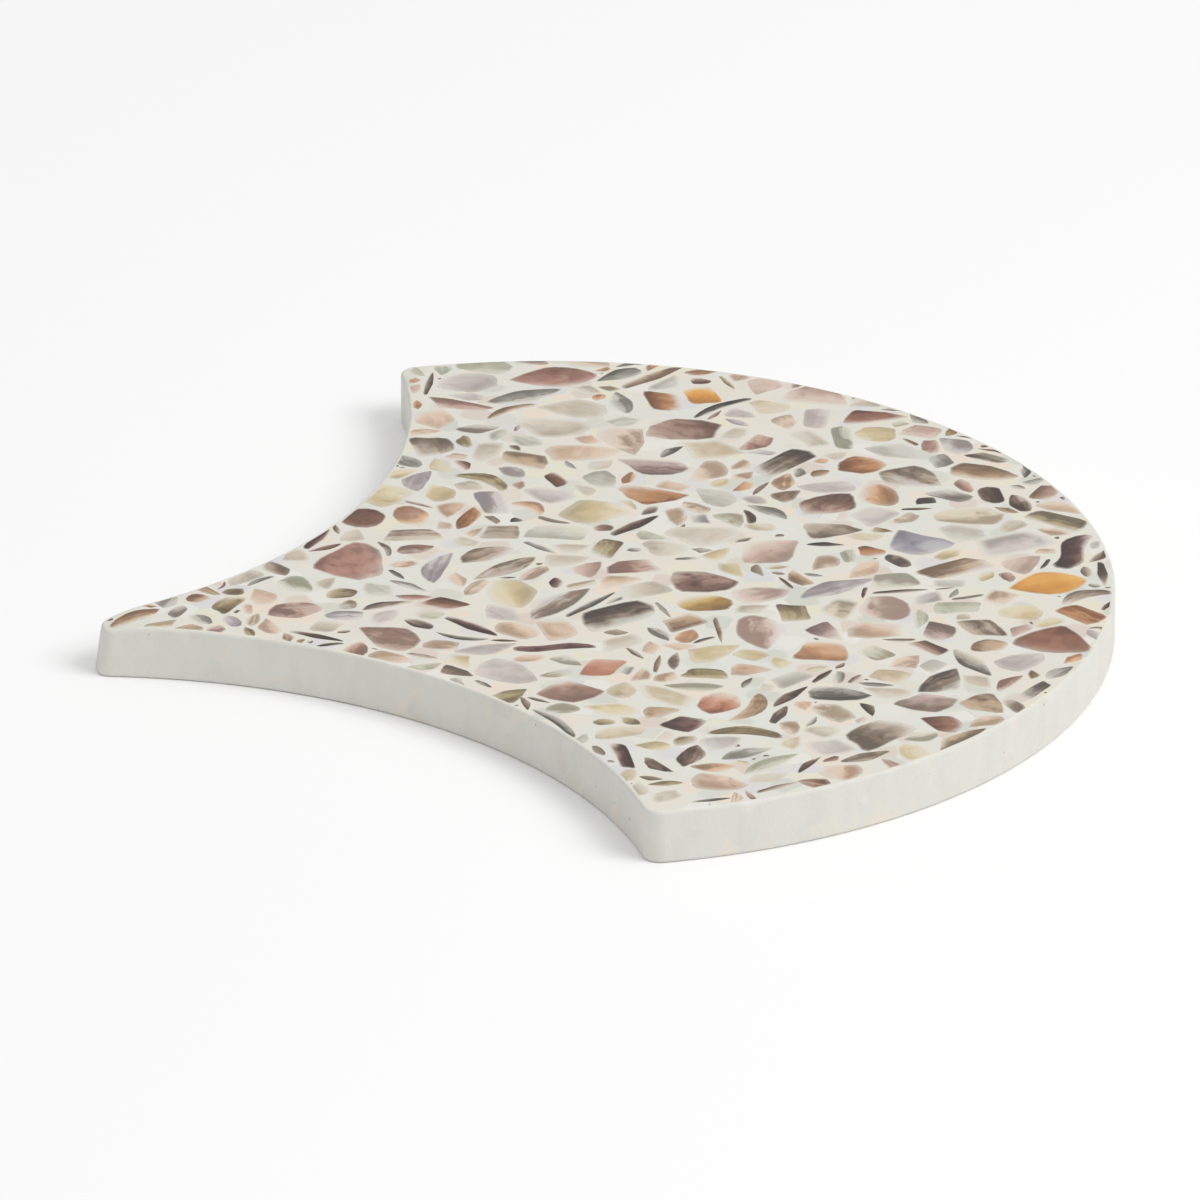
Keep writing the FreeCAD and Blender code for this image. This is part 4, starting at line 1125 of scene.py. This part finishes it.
@dataclass
class ChipBed:
    """The chips of shell in the polished face, as one closed mesh set into it. Lengths are in mm.

    Attributes:
        face: The polished face.
        finish: The finish of the shell.
        margin: Plain binder left along the edge of the face.
        gap: Binder left round a listed chip.
        depth: How deep a chip goes.
        proud: How far the chips stand above the face, which keeps the two surfaces apart.
        unevenness: How much more some of them do.
        lift: How much more they do where the face falls towards the tip.
        lift_slope: How fast that lift comes in, in mm for each mm past the start of the fall.
        ring_inset: How far a chip's middle keeps inside the line where the edge cuts it off.
        foot_inset: How far its foot keeps inside that line.
        sided: Share of the slender chips with their dark side along a long one.
        slender_below: Width, as a share of the length, under which a chip is slender.
        side_wander: How far such a dark side strays from square, in degrees.
        mixed: Share of the chips whose dark side turns to a second tone, among those that may.
        contrasts: Least and greatest contrast where chance decides.
        biases: Least and greatest bias.
    """

    face: TileFace
    finish: NacreFinish
    margin: float = 0.44
    gap: float = 0.35
    depth: float = 0.9
    proud: float = 0.005
    unevenness: float = 0.006
    lift: float = 0.04
    lift_slope: float = 0.1
    ring_inset: float = 0.4
    foot_inset: float = 0.1
    sided: float = 0.65
    slender_below: float = 0.7
    side_wander: float = 25.0
    mixed: float = 0.5
    contrasts: tuple[float, float] = (0.2, 1.1)
    biases: tuple[float, float] = (-0.02, 0.28)

    def vary(self, chip: Chip, rng: np.random.Generator) -> Chip:
        """Give a chip its own dark side, most often along a long one, and its own contrast and tints."""
        side = rng.choice((-90.0, 90.0)) + rng.uniform(-self.side_wander, self.side_wander)
        slender = chip.width < self.slender_below * chip.length and rng.random() < self.sided
        fade = side if slender else rng.uniform(0, 360)
        sheen = tuple(Sheen)[rng.integers(len(Sheen))]
        second = SECOND_TONES[rng.integers(len(SECOND_TONES))] if rng.random() < self.mixed else None
        second = second if chip.tone in MIXED_TONES else None
        contrast = rng.uniform(*self.contrasts)
        bias = rng.uniform(*self.biases)
        fade = fade if chip.fade is None else chip.fade
        contrast = contrast if chip.contrast is None else chip.contrast
        return replace(chip, fade=float(fade), contrast=contrast, bias=bias, sheen=sheen, second=second)

    def lay(self) -> list[Chip]:
        """Find each chip its place: first those listed, then those strewn between them."""
        shop = CutShop()
        board = Board(self.face, self.margin, shop)
        rng = np.random.default_rng(SEED)
        chips = []
        for chip in HAND_SET:
            cut = chip.cut
            if not cut and chip.form is not Form.SLIVER:
                cut = int(rng.integers(shop.CUTS))
            placed = board.settle(self.vary(replace(chip, cut=cut), rng), self.gap)
            if placed is None:
                LOG.info("no room for a chip at %.1f, %.1f", chip.across, chip.along)
            else:
                chips.append(placed)
        by_hand = len(chips)
        for sowing in SOWINGS:
            chips.extend(self.vary(chip, rng) for chip in board.sow(sowing, rng))
        LOG.info("chips set by hand: %d, strewn: %d", by_hand, len(chips) - by_hand)
        return chips

    def seats(self, chips: Sequence[Chip]) -> bpy.types.Object:
        """Make one point for each chip, with what the chip carries as attributes.

        Args:
            chips: The chips.

        Returns:
            An object whose mesh is the points.
        """
        rng = np.random.default_rng(SEED + 1)
        count = len(chips)
        heights = self.face.height + self.proud + rng.uniform(0, self.unevenness, count)
        places = np.array([(chip.across, chip.along, height) for chip, height in zip(chips, heights)]) * MM
        mesh = bpy.data.meshes.new("chip_seats")
        mesh.from_pydata(places.tolist(), [], [])
        turns = [math.radians(90 - chip.turn) for chip in chips]
        sizes = [(chip.length * MM, chip.width * MM, self.depth * MM) for chip in chips]
        carried: Iterable[tuple[str, str, str, Any]] = (
            ("turn", "FLOAT", "value", turns),
            ("fade_turn", "FLOAT", "value", [math.radians(chip.fade) for chip in chips]),
            ("streak", "FLOAT", "value", [chip.streak for chip in chips]),
            ("soft", "FLOAT", "value", [chip.soft for chip in chips]),
            ("contrast", "FLOAT", "value", [chip.contrast for chip in chips]),
            ("bias", "FLOAT", "value", [chip.bias for chip in chips]),
            ("sort", "FLOAT", "value", rng.uniform(0, 400, count)),
            ("cut", "INT", "value", [chip.form.value * CutShop.CUTS + chip.cut for chip in chips]),
            ("size", "FLOAT_VECTOR", "vector", sizes),
            ("light", "FLOAT_COLOR", "color", [linear(chip.tone.value[0]) for chip in chips]),
            ("dark", "FLOAT_COLOR", "color", [chip.dark() for chip in chips]),
            ("sheen", "FLOAT_COLOR", "color", [linear(chip.sheen.value) for chip in chips]),
            ("deep", "FLOAT_COLOR", "color", [chip.tone.deep() for chip in chips]),
        )
        for name, kind, field_name, values in carried:
            attribute = mesh.attributes.new(name, kind, "POINT")
            attribute.data.foreach_set(field_name, np.asarray(values).ravel())
        return bpy.data.objects.new("chip_seats", mesh)

    def lengths(self) -> dict[str, float]:
        """Name the lengths that the tree takes, in mm."""
        across, along = self.face.hollow_centre
        return {
            "Head Radius": self.face.head_radius - self.margin,
            "Hollow Radius": self.face.hollow_radius + self.margin,
            "Hollow Across": across,
            "Hollow Along": along,
            "Fall Start": self.face.fall_start,
            "Fall Radius": self.face.fall_radius,
            "Lift": self.lift,
        }

    def trim(self, bench: Bench, given: bpy.types.Node, inset: Any) -> bpy.types.NodeSocket:
        """Bring what lies beyond the edge of the face back to it.

        Args:
            bench: The bench of the tree.
            given: The tree's inputs.
            inset: How far inside the edge a point stays.

        Returns:
            The new place of each point.
        """
        spot = bench.put("GeometryNodeInputPosition").outputs[0]
        place = bench.put("ShaderNodeSeparateXYZ", {0: spot}).outputs
        ahead = bench.sum("MAXIMUM", place["Y"], 0.0)
        behind = bench.sum("MINIMUM", place["Y"], 0.0)
        arm = bench.put("ShaderNodeCombineXYZ", {"X": place["X"], "Y": ahead}).outputs[0]
        limit = bench.sum("SUBTRACT", given.outputs["Head Radius"], inset)
        share = bench.sum("MINIMUM", bench.sum("DIVIDE", limit, bench.vector("LENGTH", arm)), 1.0)
        rest = bench.put("ShaderNodeCombineXYZ", {"Y": behind, "Z": place["Z"]}).outputs[0]
        within = bench.vector("ADD", bench.vector("MULTIPLY", arm, share), rest)

        on_right = bench.sum("GREATER_THAN", place["X"], 0.0)
        side = bench.sum("SUBTRACT", bench.sum("MULTIPLY", on_right, 2.0), 1.0)
        across = bench.sum("MULTIPLY", side, given.outputs["Hollow Across"])
        heart = {"X": across, "Y": given.outputs["Hollow Along"], "Z": place["Z"]}
        centre = bench.put("ShaderNodeCombineXYZ", heart).outputs[0]
        away = bench.vector("SUBTRACT", within, centre)
        limit = bench.sum("ADD", given.outputs["Hollow Radius"], inset)
        share = bench.sum("MAXIMUM", bench.sum("DIVIDE", limit, bench.vector("LENGTH", away)), 1.0)
        return bench.vector("ADD", centre, bench.vector("MULTIPLY", away, share))

    def tree(self) -> bpy.types.GeometryNodeTree:
        """Build the tree that sets a cut of shell on each seat, level with the face, with grain and fade."""
        tree = bpy.data.node_groups.new("ChipBed", "GeometryNodeTree")
        face = tree.interface
        face.new_socket(name="Seats", in_out="INPUT", socket_type="NodeSocketGeometry")
        face.new_socket(name="Cuts", in_out="INPUT", socket_type="NodeSocketCollection")
        face.new_socket(name="Finish", in_out="INPUT", socket_type="NodeSocketMaterial")
        for name in self.lengths():
            face.new_socket(name=name, in_out="INPUT", socket_type="NodeSocketFloat")
        face.new_socket(name="Chips", in_out="OUTPUT", socket_type="NodeSocketGeometry")
        bench = Bench(tree)
        given = bench.put("NodeGroupInput")

        def carried(name: str, kind: str) -> bpy.types.NodeSocket:
            """Read what a seat or a cut carries."""
            node = bench.put("GeometryNodeInputNamedAttribute", {"Name": name}, data_type=kind)
            return node.outputs["Attribute"]

        cuts = bench.put(
            "GeometryNodeCollectionInfo",
            {"Collection": given.outputs["Cuts"], "Separate Children": True, "Reset Children": True},
        )
        spin = bench.put("ShaderNodeCombineXYZ", {"Z": carried("turn", "FLOAT")}).outputs[0]
        set_down = bench.put("GeometryNodeInstanceOnPoints", {
            "Points": given.outputs["Seats"],
            "Instance": cuts.outputs[0],
            "Pick Instance": True,
            "Instance Index": carried("cut", "INT"),
            "Rotation": bench.put("FunctionNodeEulerToRotation", {0: spin}).outputs[0],
            "Scale": carried("size", "FLOAT_VECTOR"),
        })
        chips = bench.put("GeometryNodeRealizeInstances", {"Geometry": set_down.outputs[0]}).outputs[0]

        unit = carried("unit", "FLOAT_VECTOR")
        rise = bench.put("ShaderNodeSeparateXYZ", {0: unit}).outputs["Z"]
        foot = bench.sum("MULTIPLY", rise, -self.foot_inset * MM)
        inset = bench.sum("ADD", bench.sum("MULTIPLY", carried("rim", "FLOAT"), self.ring_inset * MM), foot)
        trimmed = self.trim(bench, given, inset)
        chips = bench.put("GeometryNodeSetPosition", {"Geometry": chips, "Position": trimmed}).outputs[0]

        place = bench.put("ShaderNodeSeparateXYZ", {0: bench.put("GeometryNodeInputPosition").outputs[0]})
        past = bench.sum("SUBTRACT", given.outputs["Fall Start"], place.outputs["Y"])
        beyond = bench.sum("MAXIMUM", past, 0.0)
        radius = given.outputs["Fall Radius"]
        squared = bench.sum("MULTIPLY", radius, radius)
        leg = bench.sum("SUBTRACT", squared, bench.sum("MULTIPLY", beyond, beyond))
        drop = bench.sum("SUBTRACT", radius, bench.sum("SQRT", leg))
        lift = bench.sum("MINIMUM", bench.sum("MULTIPLY", beyond, self.lift_slope), given.outputs["Lift"])
        follow = bench.put("ShaderNodeCombineXYZ", {"Z": bench.sum("SUBTRACT", lift, drop)}).outputs[0]
        chips = bench.put("GeometryNodeSetPosition", {"Geometry": chips, "Offset": follow}).outputs[0]

        true_place = bench.vector("MULTIPLY", unit, carried("size", "FLOAT_VECTOR"))
        in_mm = bench.vector("MULTIPLY", true_place, (1 / MM, 1 / MM, 0.0))
        apart = bench.put("ShaderNodeCombineXYZ", {"Z": carried("sort", "FLOAT")}).outputs[0]
        grain = bench.vector("ADD", in_mm, apart)
        angle = carried("fade_turn", "FLOAT")
        heading = {"X": bench.sum("COSINE", angle), "Y": bench.sum("SINE", angle)}
        way = bench.put("ShaderNodeCombineXYZ", heading)
        fade = bench.vector("DOT_PRODUCT", unit, way.outputs[0])
        for name, kind, value in (("grain", "FLOAT_VECTOR", grain), ("fade", "FLOAT", fade)):
            chips = bench.put(
                "GeometryNodeStoreNamedAttribute",
                {"Geometry": chips, "Name": name, "Value": value},
                data_type=kind, domain="POINT",
            ).outputs[0]
        finish = given.outputs["Finish"]
        dressed = bench.put("GeometryNodeSetMaterial", {"Geometry": chips, "Material": finish})
        bench.put("NodeGroupOutput", {"Chips": dressed.outputs[0]})
        return tree

    def build(self) -> bpy.types.Object:
        """Lay the chips, set them down by the tree and make the result a plain mesh.

        Returns:
            The piece with every chip.
        """
        chips = self.lay()
        shop = CutShop()
        cuts = bpy.data.collections.new("chip_cuts")
        for form in Form:
            for cut in range(shop.CUTS):
                cuts.objects.link(bpy.data.objects.new(f"cut_{form.value}_{cut:02d}", shop.mesh(form, cut)))
        seats = self.seats(chips)
        bpy.context.scene.collection.objects.link(seats)
        tree = self.tree()
        modifier = seats.modifiers.new("ChipBed", "NODES")
        modifier.node_group = tree
        given = {item.name: item.identifier for item in tree.interface.items_tree if item.in_out == "INPUT"}
        modifier[given["Cuts"]] = cuts
        modifier[given["Finish"]] = self.finish.make()
        for name, length in self.lengths().items():
            modifier[given[name]] = length * MM
        graph = bpy.context.evaluated_depsgraph_get()
        mesh = bpy.data.meshes.new_from_object(
            seats.evaluated_get(graph), preserve_all_data_layers=True, depsgraph=graph
        )
        bpy.data.objects.remove(seats)
        for made in list(cuts.objects):
            bpy.data.objects.remove(made)
        bpy.data.collections.remove(cuts)
        bpy.data.node_groups.remove(tree)
        mesh.name = "shell_chips"
        piece = bpy.data.objects.new("shell_chips", mesh)
        bpy.context.scene.collection.objects.link(piece)
        return piece


@dataclass(frozen=True)
class Studio:
    """The floor, the soft light and the camera.

    Attributes:
        azimuth: Where the camera stands round the tile, in degrees.
        elevation: How high it looks down from, in degrees.
        distance: From the camera to the middle of the tile, in metres.
        lens: Focal length, in mm.
        floor_reach: Radius of the floor, in metres.
        floor_inset: How far the floor runs in under the tile, in mm.
        sky: Strength of the light from straight above.
        horizon: Strength of the light from the horizon.
        key_power: Power of the large soft light, in watts.
        key_place: Where the soft light stands, in metres.
        key_side: Side of the soft light, in metres.
    """

    azimuth: float = 77.1
    elevation: float = 23.7
    distance: float = 1.555
    lens: float = 425.0
    floor_reach: float = 6.0
    floor_inset: float = 0.7
    sky: float = 0.77
    horizon: float = 0.41
    key_power: float = 14.4
    key_place: tuple[float, float, float] = (0.75, 1.0, 1.3)
    key_side: float = 1.0

    def lay_floor(self, face: TileFace) -> bpy.types.Object:
        """Lay the pale floor round the tile's foot, open under it so that light reaches its back.

        Args:
            face: The tile's face, whose outline the opening follows.

        Returns:
            The floor.
        """
        inner = face.outline(self.floor_inset) * MM
        outer = inner * self.floor_reach / np.hypot(inner[:, 0], inner[:, 1])[:, None]
        places = np.column_stack([np.concatenate([inner, outer]), np.zeros(2 * len(inner))])
        count = len(inner)
        faces = []
        for here in range(count):
            beside = (here + 1) % count
            faces.append((here, count + here, count + beside, beside))
        mesh = bpy.data.meshes.new("studio_floor")
        mesh.from_pydata(places.tolist(), [], faces)
        mesh.materials.append(FloorFinish().make())
        floor = bpy.data.objects.new("studio_floor", mesh)
        bpy.context.scene.collection.objects.link(floor)
        return floor

    def light(self) -> None:
        """Light the tile by a pale sky that is dimmer at the horizon, and by one large soft light."""
        world = bpy.data.worlds.new("studio_sky")
        bpy.context.scene.world = world
        world.use_nodes = True
        bench = Bench(world.node_tree)
        way = bench.put("ShaderNodeSeparateXYZ", {0: bench.put("ShaderNodeTexCoord").outputs["Generated"]})
        strength = bench.spread(way.outputs["Z"], (0.0, 0.9), (self.horizon, self.sky))
        bench.feed(world.node_tree.nodes["Background"].inputs["Strength"], strength)
        world.node_tree.nodes["Background"].inputs["Color"].default_value = (1.0, 1.0, 1.0, 1.0)

        lamp = bpy.data.lights.new("soft_light", "AREA")
        lamp.shape = "SQUARE"
        lamp.size = self.key_side
        lamp.energy = self.key_power
        key = bpy.data.objects.new("soft_light", lamp)
        key.location = self.key_place
        key.rotation_euler = (-Vector(self.key_place)).to_track_quat("-Z", "Y").to_euler()
        bpy.context.scene.collection.objects.link(key)

    def set_camera(self, middle: Vector) -> None:
        """Stand the camera at the photograph's viewing angle and look at the tile's middle."""
        azimuth, elevation = math.radians(self.azimuth), math.radians(self.elevation)
        level = math.cos(elevation)
        back = Vector((math.sin(azimuth) * level, -math.cos(azimuth) * level, math.sin(elevation)))
        data = bpy.data.cameras.new("camera")
        data.lens = self.lens
        camera = bpy.data.objects.new("camera", data)
        camera.location = middle + back * self.distance
        camera.rotation_euler = (-back).to_track_quat("-Z", "Y").to_euler()
        bpy.context.scene.collection.objects.link(camera)
        bpy.context.scene.camera = camera
        bpy.context.scene.view_settings.view_transform = "Standard"


def dress_tile() -> TileFace:
    """Give the cast tile its binder finish and measure its polished face.

    Returns:
        The polished face.
    """
    node = frame["nodes"][TILE_NODE]
    binder = BinderFinish().make()
    for material_slot in node.material_slots:
        material_slot.material = binder
    low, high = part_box(TILE_NODE)
    return TileFace((high[0] - low[0]) / 2 / MM, -low[1] / MM, high[2] / MM)


def main() -> None:
    """Dress the tile, bed its chips, set up the studio and report each piece."""
    logging.basicConfig(level=logging.INFO, format="%(name)s: %(message)s")
    face = dress_tile()
    LOG.info("%s: cast binder on the tile", TILE_NODE)

    chips = ChipBed(face, NacreFinish()).build()
    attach(chips, TILE_BODY)
    LOG.info("%s: %d faces", chips.name, len(chips.data.polygons))

    studio = Studio()
    studio.lay_floor(face)
    studio.light()
    studio.set_camera((CAD_BOX[0] + CAD_BOX[1]) / 2)


if __name__ == "__main__":
    main()
